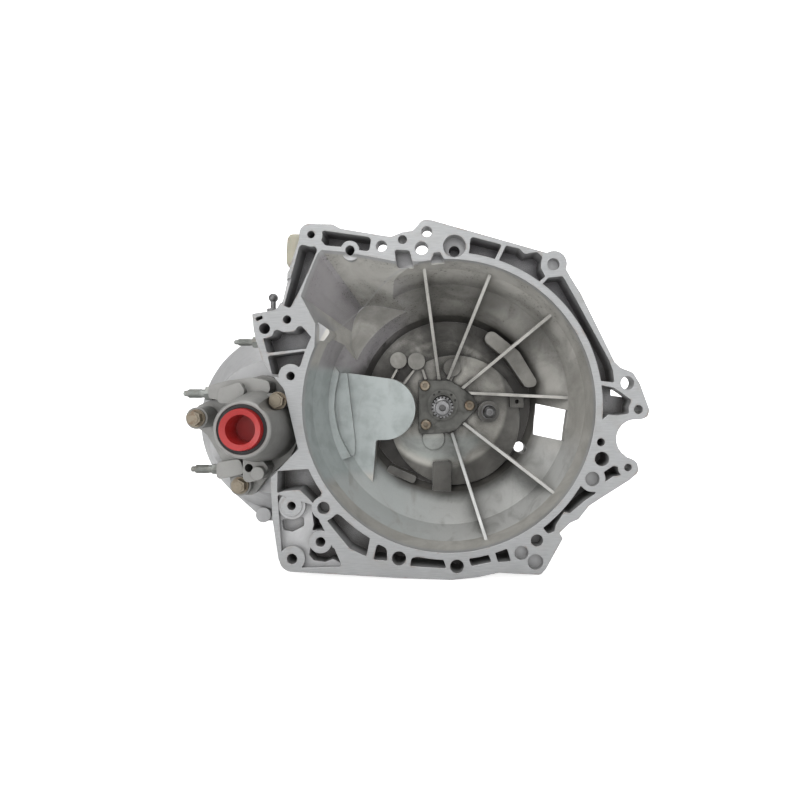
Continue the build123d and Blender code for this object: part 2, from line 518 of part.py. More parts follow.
def clutch_housing():
    bosses = [cyl((x, z), r, 0, FLANGE_D) for x, z, r in BOSSES]
    bosses.append(turned((-151.0, -98.3), [(0, 0), (10.4, 0), (10.4, 1.2), (13.6, 1.2),
                                           (13.6, 20), (0, 20)]))
    shell = turned(BELL, [(0, 0), (154, 0), (154, 20), (150, 34), (139.5, 64), (110, 100),
                          (106, 118.5), (0, 118.5)])
    # outer wall of the side cavity
    horn = loft_between([(-128, 165), (-96, 163), (-40, 152), (4, 140), (4, 60), (-100, 40),
                         (-150, 100)], 20,
                        [(-96, 118), (-80, 118), (-40, 112), (4, 100), (4, 50), (-80, 30),
                         (-112, 76)], 86)
    plate = slab(CASE_OUT, WALL_Y, SPLIT_Y)
    dome = turned(DOME, [(0, 46), (72, 46), (76, 62), (84, 80), (97, 100), (109, 118),
                         (114.5, 128), (DOME_R, SPLIT_Y), (0, SPLIT_Y)])
    vent_pad = slab([(-164, 130, 4), (-164, 144, 4), (-138, 144, 2), (-138, 126, 2)], 30, 58)
    body = fuse(engine_flange(), shell, horn, plate, dome, vent_pad, *bosses,
                *cyls(CASE_BOLTS, 9, 112, SPLIT_Y))
    bell_cavity = turned(BELL, [(0, -1), (RIM_R, -1), (RIM_R, 2), (143.5, 30), (133, 60),
                                (103.5, 95), (98, FLOOR_Y), (0, FLOOR_Y)])
    body = body - [bell_cavity, loft_between(CAVITY_MOUTH, -1, CAVITY_END, 80),
                   *[slab(outline, -1, 14) for outline in RIM_RECESSES]]
    lug = slab([(-128.8, 88, 2), (-113, 77.4, 4), (-120.5, 67, 4), (-129.0, 68, 1)], 8, 46)
    body = fuse(body + bell_details(), cyl((-92.5, 157.7), 9.3, 5, FLANGE_D), lug)
    body = body - housing_bores()
    body = body - housing_holes()
    return biggest(body - cyls(CASE_BOLTS, 4.0, 116, SPLIT_Y + 1))


# ---------------------------------------------------------------- gear case and rear cover
# Outlines, (x, z, corner radius)
TOWER_OUT = [(-132, -24, 18), (-108, -62, 18), (-51, -80, 14), (29, -80, 14), (56, -50, 14),
             (56, 42, 14), (48, 74, 14), (36, 90, 8), (-122, 90, 14), (-136, 60, 14)]
TOWER_IN = [(-125, -26, 14), (-104, -56, 14), (-50, -74, 10), (26, -74, 10), (50, -48, 10),
            (50, 40, 10), (42, 70, 10), (33, 84, 5), (-118, 84, 10), (-129, 56, 10)]
REAR_OUT = [(-122, -10, 16), (-104, -48, 16), (-46, -60, 14), (26, -54, 14), (52, -26, 14),
            (52, 34, 14), (34, 64, 14), (-84, 68, 14), (-118, 44, 14)]
REAR_IN = [(-116, -9, 12), (-100, -43, 12), (-45, -54, 10), (24, -48.5, 10), (46.5, -24, 10),
           (46.5, 32, 10), (31, 58.5, 10), (-82, 62, 10), (-112, 41, 10)]
REAR_FLANGE = [(x + (8 if x > -30 else -8), z + (8 if z > 0 else -8), 16)
               for x, z, _ in REAR_OUT]


def dome_rib(degrees):
    """Blade on the end of the dome, 4 thick, at an angle round its centre."""
    angle = math.radians(degrees)
    x0, z0 = polar(DOME, 60, angle)
    x1, z1 = polar(DOME, 112, angle)
    return prism([(x0, 180, z0), (x1, 146, z1), (x1, 156, z1), (x0, 205, z0)],
                 (4 * math.sin(angle), 0, -4 * math.cos(angle)))


def gear_case():
    tower = slab(TOWER_OUT, SPLIT_Y, REAR_Y)
    selector_box = slab([(-186, 82, 6), (-186, 118, 12), (20, 118, 12), (36, 82, 4)], 196, 264)
    dome = turned(DOME, [(0, SPLIT_Y), (DOME_R, SPLIT_Y), (115, 150), (109.5, 164), (94, 178),
                         (80, 191), (64, 200), (58, 212), (0, 212)])
    sump = slab([(-196, -135, 20), (-150, -137, 24), (-106, -96, 20), (-100, 0, 10),
                 (-196, 0, 10)], SPLIT_Y, 176)
    ribs = [box(-98, -94, 176, 298, 84, 94), box(-30, -26, 176, 298, -88, -78),
            box(10, 14, 176, 298, -88, -78), box(-70, -66, 150, 298, -86, -68),
            box(54, 60, 150, 298, -22, -18), box(54, 60, 150, 298, 28, 32)]
    ribs += [dome_rib(degrees) for degrees in (100, 135, 165, 195, 225, 255)]
    body = fuse(slab(CASE_OUT, SPLIT_Y, CASE_SEAT_Y), cyl(DOME, DOME_R, SPLIT_Y, CASE_SEAT_Y),
                tower, selector_box, dome, sump, slab(REAR_FLANGE, REAR_Y - 12, REAR_Y),
                *cyls(CASE_BOLTS, 9, SPLIT_Y, CASE_SEAT_Y),
                *cyls(REAR_BOLTS, 8.5, REAR_Y - 22, REAR_Y), *ribs)
    front, back = SPLIT_Y - 1, REAR_Y + 1
    body = body - [
        slab(TOWER_IN, front, 291), cyl(DIF, CROWN_ROOM_R, front, 153), cyl(DIF, 82, front, 163),
        cyl(DIF, 66, front, 190), cyl(DIF, DIF_RACE, 189, 205), cyl(DIF, 34, 204, 213),
        box(-150, 18, 202, 258, 80, 112), *cyls([INPUT, OUTPUT], SHAFT_RACE, 290, back),
        *[cyl(axis, r + RUN, 290, back) for axis, r in RAILS],
        cyl(REV_RAIL, THIN_RAIL_R, 290, 304)]
    selector_web = box(-104, -90, 200, 260, 86, 114)
    body = fuse(biggest(body), selector_web)
    body = body - [
        cyl_x(SELECTOR, SEL_R + RUN, -190, -86),
        *cyls(CASE_BOLTS, 4.5, front, CASE_SEAT_Y + 1),
        *cyls(CASE_BOLTS, 9.6, CASE_SEAT_Y, 182),
        *cyls(REAR_BOLTS, 3.0, REAR_Y - 20, back),
        cyl_z(DRAIN, 7.0, -150, -118), cyl_x(FILLER, 8.0, 44, 70), cyl_z(SWITCH, 7.0, 80, 100)]
    return biggest(body)


def rear_cover():
    inside_y = END_Y - 6
    body = fuse(slab(REAR_FLANGE, REAR_Y, REAR_Y + 9), slab(REAR_OUT, REAR_Y, END_Y),
                *cyls(REAR_BOLTS, 8.5, REAR_Y, COVER_SEAT_Y),
                *[box(x - 2, x + 2, REAR_Y + 8, inside_y, -66, -50) for x in (-42, 14)],
                *[box(x - 2, x + 2, REAR_Y + 8, inside_y, 60, 74) for x in (-60, -10)],
                cyl(INPUT, 24, END_Y - 2, END_Y + 3), cyl(OUTPUT, 30, END_Y - 2, END_Y + 3))
    body = body - [slab(REAR_IN, REAR_Y - 1, inside_y)]
    body = body - cyls(REAR_BOLTS, 3.6, REAR_Y - 1, COVER_SEAT_Y + 1)
    return biggest(body - cyls(REAR_BOLTS, 7.6, COVER_SEAT_Y, REAR_Y + 30))


# Cast work on the extension housing: y span, then outline (x, z, corner radius)
EXT_FLANGE = (34, 46, [
    (-263, -20, 9), (-262, 0, 9), (-244, 8, 10), (-218, 26, 14), (-190, 34, 12), (-162, 24, 8),
    (-153, 8, 8), (-151, -30, 20), (-162, -56, 12), (-186, -74, 8), (-200, -94, 9),
    (-223, -93, 9), (-226, -74, 10), (-238, -50, 14), (-250, -30, 10)])
EXT_LUGS = [
    (14, 36, [(-240, 9, 3), (-240, 22.5, 4), (-220, 27.5, 5), (-196, 30.5, 5), (-178, 27, 5),
              (-176, 14, 5), (-196, 15, 5), (-222, 6, 5)]),
    (6, 30, [(-228, 4, 4), (-226, 19, 5), (-205, 26, 5), (-199, 15, 5), (-214, 4, 4)]),
    (6, 36, [(-178, 14, 3), (-168, 14.5, 3), (-160, 10, 3), (-162, 2, 3), (-178, 6, 3)]),
    (24, 42, [(-236, -76, 4), (-236, -58, 4), (-212, -54, 5), (-206, -70, 5)]),
    (12, 40, [(-204, -50, 5), (-186, -52, 5), (-178, -62, 4), (-184, -74, 5), (-204, -78, 6)]),
]


def extension_housing():
    snout = turned(DIF, [(0, -30), (26.4, -30), (27.9, -28.5), (32.4, -4), (36.6, 14),
                         (38.3, 30), (38.3, 38), (0, 38)])
    y0, y1, outline = EXT_FLANGE
    pads = [cyl(place, pad_r, seat, y1) for place, seat, pad_r, _ in EXT_BOLTS]
    lugs = [slab(lug, lug_y0, lug_y1) for lug_y0, lug_y1, lug in EXT_LUGS]
    nub = cyl((-186.6, -66.4), 6.6, 4, 20)
    body = fuse(snout, slab(outline, y0, y1), *pads, *lugs, nub)
    cuts = [cyl(DIF, 22.6, -31, 47), cyl(DIF, 24.1, -31, -18), cyl((-198, -62), 4.2, 0, 47)]
    for place, seat, _, recess_r in EXT_BOLTS:
        cuts += [cyl(place, 4.5, seat - 1, 47), cyl(place, recess_r, seat - 40, seat)]
    cuts += [cyl_x(STUDS[0], STUD_ROOT_R, -246, -226), cyl_x(STUDS[1], STUD_ROOT_R, -240, -222)]
    return biggest(body - cuts)


# ---------------------------------------------------------------- fasteners
def joint_bolt(place, seat, tip, shank_r, corner_r, head, turn, collar_r, collar):
    """Bolt with its head towards +Y of seat; head and collar are heights."""
    return biggest(fuse(hexagon(place, corner_r, seat, seat + head, turn),
                        cyl(place, collar_r, seat, seat + collar),
                        cyl(place, shank_r, tip, seat + 0.5)))


def case_bolts():
    return [joint_bolt(place, CASE_SEAT_Y, 119, shank_r=4.0, corner_r=7.5, head=7, turn=12,
                       collar_r=8.2, collar=1.6) for place in CASE_BOLTS]


def rear_cover_bolts():
    return [joint_bolt(place, COVER_SEAT_Y, REAR_Y - 16, shank_r=3.0, corner_r=6.2, head=6,
                       turn=20, collar_r=7, collar=1.4) for place in REAR_BOLTS]


def extension_bolt(place, seat):
    """Bolt with its head towards -Y of seat."""
    flats, head = 13, 8.0
    turn = 10 + (place[0] * 7 + place[1] * 3) % 50
    return biggest(fuse(hexagon(place, flats / SQRT3, seat - head, seat, turn),
                        cyl(place, 4.0, seat - 0.5, 59), cyl(place, 9.0, seat - 2, seat),
                        cyl(place, flats * 0.38, seat - head - 0.6, seat - head + 0.5)))


def stud(axis, root, tip, r, flats, collar):
    """Stud pointing to -X with a hexagon collar; axis is (y, z), root, tip and collar are x."""
    body = turned_x(axis, [(0, root), (STUD_ROOT_R, root), (STUD_ROOT_R, collar), (r, collar),
                           (r, tip + 7), (r * 0.72, tip + 6), (r * 0.72, tip + 1),
                           (r * 0.5, tip), (0, tip)])
    nut = prism([(collar, y, z) for y, z in circle(axis, flats / SQRT3, 6)], (-7, 0, 0))
    return biggest(fuse(body, nut))


def bracket_studs():
    return [stud(STUDS[0], root=-228, tip=-271, r=4.4, flats=14, collar=-240),
            stud(STUDS[1], root=-224, tip=-266, r=4.2, flats=10, collar=-236),
            stud(STUDS[2], root=-180, tip=-217, r=3.4, flats=11, collar=-190)]


def guide_sleeve_bolt(place):
    x, z = place
    body = turned(place, [(0, 96.6), (5.2, 96.6), (6.2, 97.6), (6.2, 101), (3.0, 101),
                          (3.0, 114), (0, 114)])
    return biggest(body - hexagon(place, 5 / SQRT3, 96, 99, 15))


def fork_pivot_stud():
    body = turned(PIVOT, [(0, 72), (4, 72.5), (6.6, 75), (7.6, 79), (7.2, 83), (5, 86),
                          (8.5, 86.4), (8.5, 88), (4.0, 88), (4.0, 103), (0, 103)])
    return biggest(body - hexagon(PIVOT, 5 / SQRT3, 71, 75))


# ---------------------------------------------------------------- sleeve, seals and plugs
def guide_sleeve():
    plate = slab([(-28.1, 28.8, 2), (8.6, 28.8, 5), (32.3, 12.8, 8), (43.0, -1.4, 5),
                  (15.7, -29.4, 5), (8.6, -32.4, 6), (-25.8, -34.6, 2), (-28.1, -29.8, 2)],
                 101, 106)
    body = fuse(plate, cyl(INPUT, 18, 95, 102), cyl(INPUT, 13.2, 60, 96))
    body = body - [cyl(INPUT, 11.8, 59, 107)]
    body = body - cyls(GUIDE_BOLTS, 3.2, 100, 107)
    dimples = [polar(INPUT, 15.6, math.radians(t)) for t in (20, 50, 105, 130, 230, 262)]
    return biggest(body - cyls(dimples, 1.3, 94, 98))


def diff_oil_seals():
    return [turned(DIF, [(20.6, -29.2), (24.0, -29.2), (24.0, -19), (22.9, -19), (22.9, -26.5),
                         (21.2, -26.5), (20.6, -24)]),
            turned(DIF, [(19.0, 205.2), (33.9, 205.2), (33.9, 211), (24, 211), (24, 207.5),
                         (19.0, 207.5)])]


def transport_plugs():
    return [turned(DIF, [(0, -8), (13.2, -8), (14.2, -34), (19.6, -35.8), (20.0, -34),
                         (20.0, -31), (20.4, -29.4), (20.4, 14), (19.2, 14), (18.8, -5),
                         (0, -5)]),
            turned(DIF, [(0, 209), (15, 209), (15, 215), (19, 215), (20.5, 213.5),
                         (20.5, 211.2), (18.2, 211.2), (17.0, 190), (15.6, 190), (15.6, 206),
                         (0, 206)])]


def drain_plug():
    return turned_z(DRAIN, [(0, -143), (9, -143), (9, -140), (11, -140), (11, -137),
                            (6.9, -137), (6.9, -121), (0, -121)])


def fill_plug():
    return turned_x(FILLER, [(0, 64), (9, 64), (9, 62), (11, 62), (11, 58.6), (7.9, 58.6),
                             (7.9, 48), (0, 48)])


def reverse_light_switch():
    return turned_z(SWITCH, [(0, 86), (6.9, 86), (6.9, 91.2), (12, 91.2), (12, 97), (10, 97),
                             (10, 108), (7, 108), (7, 118), (0, 118)])


def breather_cap():
    cap = turned_z(BREATHER, [(0, 144), (6, 144), (6, 150), (9.4, 151), (11, 154),
                              (11.2, 168), (10.2, 181), (8, 184.4), (0, 185.5)])
    return biggest(fuse(cap, cyl_z(BREATHER, 4.5, 130, 145)))


# ---------------------------------------------------------------- bearings
def outer_races(axis, bore_r, race_r, seats, rollers=12):
    """Outer ring and rollers for every seat."""
    gap_in = bore_r + (race_r - bore_r) * 0.30
    gap_out = bore_r + (race_r - bore_r) * 0.70
    roller_r = (gap_out - gap_in) / 2 - 0.12
    pieces = []
    for y0, y1 in seats:
        pieces.append(tube(axis, gap_out, race_r, y0, y1))
        pieces += cyls(circle(axis, (gap_in + gap_out) / 2, rollers), roller_r, y0 + 2, y1 - 2)
    return pieces


def inner_races(axis, bore_r, race_r, seats):
    ring_r = bore_r + (race_r - bore_r) * 0.30
    return [tube(axis, bore_r, ring_r, y0, y1) for y0, y1 in seats]


# ---------------------------------------------------------------- shafts and gears
def input_teeth(speed):
    y0, y1 = sorted(GEAR_STATIONS[speed][:2])
    return gear(INPUT, TEETH[speed][0], MODULE, y0, y1, TO_OUTPUT)


def input_shaft():
    core = turned(INPUT, [
        (0, -10), (6.6, -10), (PILOT_R, -9), (PILOT_R, 6), (9.2, 7), (9.2, 52), (11, 54),
        (11, 117), (SHAFT_BORE, 117.5), (SHAFT_BORE, 134), (12.9, 134), (12.9, 206.5),
        (16, 206.5), (16, 221), (17.5, 222), (17.5, 289), (SHAFT_BORE, 289),
        (SHAFT_BORE, 308), (13.5, 308), (13.5, 344), (0, 344)])
    reverse = gear(INPUT, REV_TEETH[0], MODULE, 176, 188, toward(INPUT, IDLER))
    body = fuse(core, spline(INPUT, 18, 9.1, 11.0, 8, 50, 0.55), input_teeth(1), reverse,
                input_teeth(2))
    return biggest(body - cyl(INPUT, 3.3, -11, 4))


def input_gear(speed, bore_r):
    y0, y1 = sorted(GEAR_STATIONS[speed][:2])
    return biggest(input_teeth(speed) - cyl(INPUT, bore_r, y0 - 1, y1 + 1))


def output_shaft():
    core = turned(OUTPUT, [
        (0, 104), (14, 104), (SHAFT_BORE, 105), (SHAFT_BORE, 123), (24, 124), (24, 150),
        (20, 152), (20, 291), (SHAFT_BORE, 291.5), (SHAFT_BORE, 361), (14, 362), (0, 362)])
    pinion = gear(OUTPUT, FINAL_TEETH[0], FINAL_MODULE, 128, 150, TO_DIF)
    return biggest(fuse(core, pinion) - cyl(OUTPUT, 4, 100, 363))


def driven_gear(speed):
    plain, dog_side, dog_end, cone_end, bore_r = GEAR_STATIONS[speed]
    y0, y1 = sorted((plain, dog_side))
    count = TEETH[speed][1]
    teeth = gear(OUTPUT, count, MODULE, y0, y1, TO_OUTPUT + math.pi, space=True)
    dog = cyl(OUTPUT, 29.5, *sorted((dog_side, dog_end)))
    cone_y0, cone_y1 = sorted((dog_end, cone_end))
    r0, r1 = (26.4, 25.2) if cone_end > dog_end else (25.2, 26.4)
    cone = Solid.make_cone(r0, r1, cone_y1 - cone_y0, y_plane(OUTPUT, cone_y0))
    body = fuse(teeth, dog, cone) - cyl(OUTPUT, bore_r + RUN, y0 - 30, y1 + 30)
    if count > 33:
        # shallow ring recess in the plain face
        start = plain if plain < dog_side else plain - 2.5
        body = body - tube(OUTPUT, 31.5, MODULE * count / 2 - 6, start, start + 2.5)
    return biggest(body)


def baulk_ring(speed):
    _, _, dog_end, cone_end, _ = GEAR_STATIONS[speed]
    side = 1 if cone_end > dog_end else -1
    y0, y1 = sorted((dog_end + 0.4 * side, cone_end + 0.4 * side))
    notch_y = (y0 + 2.6, y1 + 1) if side > 0 else (y0 - 1, y1 - 2.6)
    x, z = OUTPUT
    notch = box(x - 3, x + 3, *notch_y, z + 26, z + 31)
    return biggest(tube(OUTPUT, 27.0, 29.4, y0, y1) - [notch])


def hub(y0, y1, bore_r):
    body = spline(OUTPUT, 24, 30.0, 32.0, y0, y1) - [cyl(OUTPUT, bore_r, y0 - 1, y1 + 1)]
    return biggest(body - [tube(OUTPUT, bore_r + 4, 28, y0 - 1, y0 + 3),
                           tube(OUTPUT, bore_r + 4, 28, y1 - 3, y1 + 1)])


def sleeve(y0, y1, groove, reverse_teeth=None):
    """Sliding sleeve; reverse_teeth is the y span of its reverse ring, if any."""
    body = cyl(OUTPUT, 37.0, y0, y1)
    if reverse_teeth:
        body = fuse(body, gear(OUTPUT, REV_TEETH[2], MODULE, *reverse_teeth,
                               sleeve_ring_turn()))
    return biggest(body - [spline(OUTPUT, 24, 30.1, 32.15, y0 - 1, y1 + 1, fill=0.53),
                           tube(OUTPUT, 34.6, 60, *groove)])


def reverse_idler():
    teeth = gear(IDLER, REV_TEETH[1], MODULE, 196, 203.7, toward(IDLER, INPUT), space=True)
    collar = turned(IDLER, [(0, 203), (15, 203), (15, 209), (12.6, 209), (12.6, 214),
                            (15, 214), (15, 218), (0, 218)])
    return biggest(fuse(teeth, collar) - cyl(IDLER, IDLER_SHAFT_R + RUN, 190, 220))


def strip(start, angle, along0, half0, along1, half1, y0, y1):
    """Straight or tapering arm; `half` is half its width at each distance from start."""
    return poly([polar(start, along0, angle, half0), polar(start, along1, angle, half1),
                 polar(start, along1, angle, -half1), polar(start, along0, angle, -half0)],
                y0, y1)


def reverse_fork():
    mouth_r = 12.9
    angle = toward(IDLER, REV_RAIL)
    y0, y1 = 209.2, 213.8
    arm = strip(IDLER, angle, 8, 6, math.dist(IDLER, REV_RAIL), 6, y0, y1)
    body = fuse(cyl(IDLER, 16.4, y0, y1), arm, cyl(REV_RAIL, 9.5, 203, 222))
    return biggest(body - [cyl(IDLER, mouth_r, 205, 217),
                           strip(IDLER, angle, -30, mouth_r, 0, mouth_r, 205, 217),
                           cyl(REV_RAIL, THIN_RAIL_R + RUN, 200, 225)])


# ---------------------------------------------------------------- differential
CROWN_HOLES = circle(DIF, 64.5, 8)
CROWN_HOLE_R = 4.5


def crown_wheel():
    body = gear(DIF, FINAL_TEETH[1], FINAL_MODULE, 128, 150, TO_DIF + math.pi, space=True)
    body = body - [cyl(DIF, 57, 127, 151)]
    return biggest(body - cyls(CROWN_HOLES, CROWN_HOLE_R, 127, 151))


def diff_case():
    outer = turned(DIF, [
        (0, 82), (DIF_BORE, 82), (DIF_BORE, 102.5), (40, 103), (50, 108), (57, 116), (57, 150),
        (71.5, 150), (71.5, 158), (58, 158), (58, 172), (50, 182), (38, 188),
        (DIF_BORE, 188.5), (DIF_BORE, 204.6), (0, 204.6)])
    inner = turned(DIF, [(0, 108), (20, 108), (44, 116), (51, 122), (51, 164), (44, 172),
                         (20, 180), (0, 180)])
    body = outer - [inner, cyl(DIF, 18.2, 80, 210)]
    body = body - cyls(CROWN_HOLES, CROWN_HOLE_R, 149, 159)
    x, z = DIF
    return biggest(body - [cyl_z((x, DIF_MID), PIN_R, z - 70, z + 70),
                           box(x - 70, x - 30, 122, 148, z - 26, z + 26),
                           box(x + 30, x + 70, 122, 148, z - 26, z + 26)])


def crown_bolts():
    return [biggest(fuse(hexagon(place, 11 / SQRT3, 158, 163, i * 15),
                         cyl(place, CROWN_HOLE_R, 128.5, 158.5)))
            for i, place in enumerate(CROWN_HOLES)]


BEVEL_MODULE, SIDE_TEETH, PLANET_TEETH = 4.0, 16, 10


def bevel(teeth, mate):
    """Straight bevel gear on +Z with its apex at the origin, and its large-end depth."""
    cone_angle = math.atan2(teeth, mate)
    outer_r = BEVEL_MODULE * teeth / 2
    cone_length = outer_r / math.sin(cone_angle)
    virtual_r = outer_r / math.cos(cone_angle)
    base_r = virtual_r * math.cos(PRESSURE)
    addendum, dedendum = 0.7 * BEVEL_MODULE, 0.95 * BEVEL_MODULE
    half = (math.pi * BEVEL_MODULE / 4 - 0.22) / virtual_r

    def section(depth):
        flank = []
        for height in (-dedendum, -dedendum * 0.4, 0, addendum * 0.5, addendum):
            r = virtual_r + height
            angle = cone_angle + height / cone_length
            turn = half + involute(PRESSURE) - involute(math.acos(base_r / max(r, base_r)))
            flank.append((depth * math.tan(angle), turn * r / (cone_length * math.sin(angle))))
        points = [(x, y, depth) for x, y in toothed((0, 0), teeth, flank)]
        return Wire.make_polygon(points, close=True)

    large_end = cone_length * math.cos(cone_angle)
    return Solid.make_loft([section(large_end * 0.66), section(large_end)], True), large_end


def diff_bevel(teeth, mate, collars, bore_r, direction):
    """Bevel gear in the differential; collars are (radius, start, end) from the large end."""
    body, large_end = bevel(teeth, mate)
    body = fuse(body, *[cyl_z((0, 0), r, large_end + z0, large_end + z1)
                        for r, z0, z1 in collars])
    body = body - cyl_z((0, 0), bore_r, -2, 78)
    place = Plane(origin=(DIF[0], DIF_MID, DIF[1]), x_dir=(1, 0, 0), z_dir=direction)
    return biggest(body).moved(place.location)


def side_gear(sign):
    return diff_bevel(SIDE_TEETH, PLANET_TEETH, [(25.5, -0.5, 5.5), (18.0, 0, 22)], 11.5,
                      (0, sign, 0))


def planet_gear(sign):
    return diff_bevel(PLANET_TEETH, SIDE_TEETH, [(15.4, -0.5, 3.5)], PIN_R + RUN, (0, 0, sign))


# ---------------------------------------------------------------- selector
def fork(axis, rail_r, groove, before=7, after=7):
    """Selector fork riding in a sleeve groove; its boss on the rail reaches before and after."""
    y0, y1 = groove[0] + FORK_PLAY, groove[1] - FORK_PLAY
    angle = toward(OUTPUT, axis)
    half_span = math.radians(75)
    sector = [OUTPUT] + [polar(OUTPUT, 70, angle + half_span * k) for k in (-1, -0.5, 0, 0.5, 1)]
    claw = tube(OUTPUT, 34.9, 44, y0, y1) & poly(sector, y0 - 2, y1 + 2)
    arm = strip(OUTPUT, angle, 38, 12.8, math.dist(OUTPUT, axis), 8, y0, y1)
    body = fuse(claw, arm, cyl(axis, rail_r + 4.5, y0 - before, y1 + after))
    return biggest(body - [cyl(OUTPUT, 34.9, y0 - 1, y1 + 1),
                           cyl(axis, rail_r, y0 - 20, y1 + 20)])


def fork_3_4():
    # milled flat that lets the 1-2 rail's lug pass
    flat = box(-60, -39.1, 240, 275, 50.6, 80)
    return biggest(fork(RAIL34, RAIL_R, GROOVE34, before=0, after=11) - [flat])


def rail(axis, r, y1, lug_x, walls=(-1, 1)):
    """Selector rail with its gate lug; the lug's slot takes the selector finger."""
    y0, lug_z, half = 122, 60.5, 4.4
    x0, x1 = sorted((lug_x, axis[0]))
    body = [turned(axis, [(0, y0), (r - 1, y0), (r, y0 + 1), (r, y1 - 1), (r - 1, y1), (0, y1)]),
            box(x0 - half, x1 + half, SEL_Y - 10, SEL_Y + 10, axis[1] - 3, lug_z + 0.1)]
    for side in walls:
        wall_y = sorted((SEL_Y + side * 5.3, SEL_Y + side * 10))
        body.append(box(lug_x - half, lug_x + half, *wall_y, lug_z, 74))
    return biggest(fuse(*body))


def selector_shaft():
    shaft = turned_x(SELECTOR, [(0, -234), (6, -234), (SEL_R, -233), (SEL_R, -20), (6, -19),
                                (0, -19)])
    tip_z = 67.4
    # slim neck, so that it clears the lug as it tilts
    neck = box(-34.8, -26.8, SEL_Y - 3.1, SEL_Y + 3.1, tip_z, SEL_Z)
    return biggest(fuse(shaft, cyl_x(SELECTOR, 12, -40.5, -21.5), neck,
                        cyl_x((SEL_Y, tip_z), 5, -34.8, -26.8)))


def selector_lever():
    ball_at = (-240.5, SEL_Y)
    y = SEL_Y - 8
    arm = prism([(-231, y, SEL_Z + 6), (-223, y, SEL_Z + 6), (-232, y, 131), (-246, y, 131)],
                (0, 16, 0))
    body = fuse(cyl_x(SELECTOR, 13, -232, -218), arm, cyl_z(ball_at, 8.5, 124, 132),
                cyl_z(ball_at, 3.6, 131, 143),
                Solid.make_sphere(6.4, Plane(origin=(*ball_at, 147.7))))
    return biggest(body - cyl_x(SELECTOR, SEL_R, -240, -210))


def gate_carrier():
    pin = (-206.5, SEL_Y + 22)
    body = fuse(cyl_x(SELECTOR, 12, -212, -201),
                box(-212, -201, SEL_Y + 4, SEL_Y + 26, SEL_Z - 6, SEL_Z + 6),
                cyl_z(pin, 4, SEL_Z - 18, SEL_Z + 6),
                Solid.make_sphere(5.5, Plane(origin=(*pin, SEL_Z - 20))))
    return biggest(body - cyl_x(SELECTOR, SEL_R + RUN, -214, -199))


# ---------------------------------------------------------------- writing
save("clutch_housing", clutch_housing())
save("gear_case", gear_case())
save("rear_cover", rear_cover())
save("diff_extension_housing", extension_housing())
save("case_bolts", *case_bolts())
save("rear_cover_bolts", *rear_cover_bolts())
save("extension_bolts", *[extension_bolt(place, seat) for place, seat, _, _ in EXT_BOLTS])
save("bracket_studs", *bracket_studs())
save("guide_sleeve", guide_sleeve())
save("guide_sleeve_bolts", *[guide_sleeve_bolt(place) for place in GUIDE_BOLTS])
save("fork_pivot_stud", fork_pivot_stud())
save("input_oil_seal", tube(INPUT, 11 + RUN, 17.4, 111, 117))
save("diff_oil_seals", *diff_oil_seals())
save("transport_plugs", *transport_plugs())
save("drain_plug", drain_plug())
save("fill_plug", fill_plug())
save("reverse_light_switch", reverse_light_switch())
save("breather_cap", breather_cap())
save("reverse_idler_shaft", cyl(IDLER, IDLER_SHAFT_R, 114.5, 228))
save("reverse_rail", cyl(REV_RAIL, THIN_RAIL_R, 122.5, 303.5))
save("shaft_bearings_outer", *outer_races(INPUT, SHAFT_BORE, SHAFT_RACE, INPUT_SEATS),
     *outer_races(OUTPUT, SHAFT_BORE, SHAFT_RACE, OUTPUT_SEATS))
save("diff_bearings_outer", *outer_races(DIF, DIF_BORE, DIF_RACE, DIF_SEATS, rollers=16))
save("input_bearings_inner", *inner_races(INPUT, SHAFT_BORE, SHAFT_RACE, INPUT_SEATS))
save("output_bearings_inner", *inner_races(OUTPUT, SHAFT_BORE, SHAFT_RACE, OUTPUT_SEATS))
save("diff_bearings_inner", *inner_races(DIF, DIF_BORE, DIF_RACE, DIF_SEATS))
save("input_shaft", input_shaft())
for number, bore in ((3, 17.5), (4, 17.5), (5, 13.5)):
    save("input_gear_%d" % number, input_gear(number, bore))
save("output_shaft", output_shaft())
for number in GEAR_STATIONS:
    save("driven_gear_%d" % number, driven_gear(number))
save("baulk_rings", *[baulk_ring(number) for number in GEAR_STATIONS])
save("synchro_hubs", hub(178, 196, 20), hub(246, 264, 20), hub(339, 356, 15))
save("sleeve_1_2", sleeve(176, 198, GROOVE12, reverse_teeth=(176, 186)))
save("sleeve_3_4", sleeve(244, 266, GROOVE34))
save("sleeve_5", sleeve(338.5, 358, GROOVE5))
save("reverse_idler_gear", reverse_idler())
save("reverse_fork", reverse_fork())
save("crown_wheel", crown_wheel())
save("diff_case", diff_case())
save("crown_wheel_bolts", *crown_bolts())
save("planet_pin", cyl_z((DIF[0], DIF_MID), PIN_R, DIF[1] - 55, DIF[1] + 55))
save("planet_gear_upper", planet_gear(1))
save("planet_gear_lower", planet_gear(-1))
save("side_gear_left", side_gear(-1))
save("side_gear_right", side_gear(1))
save("fork_1_2", fork(RAIL12, RAIL_R, GROOVE12))
save("fork_3_4", fork_3_4())
save("fork_5", fork(RAIL5, THIN_RAIL_R, GROOVE5))
save("rail_1_2", rail(RAIL12, RAIL_R, 300, lug_x=-43.8))
save("rail_3_4", rail(RAIL34, RAIL_R, 300, lug_x=-30.8))
save("rail_5", rail(RAIL5, THIN_RAIL_R, 361, lug_x=-17.8, walls=(-1,)))
save("selector_shaft", selector_shaft())
save("selector_lever", selector_lever())
save("gate_carrier", gate_carrier())
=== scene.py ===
"""Looks for a gearbox casing: an open clutch bell, a gear case behind it and a differential snout.

Metres, +Z up. The bell's mouth faces -Y, towards the camera, and the input shaft runs along Y.
The differential lies on the -X side. A larger y is deeper into the bell.
"""

import json
import math
from functools import cached_property

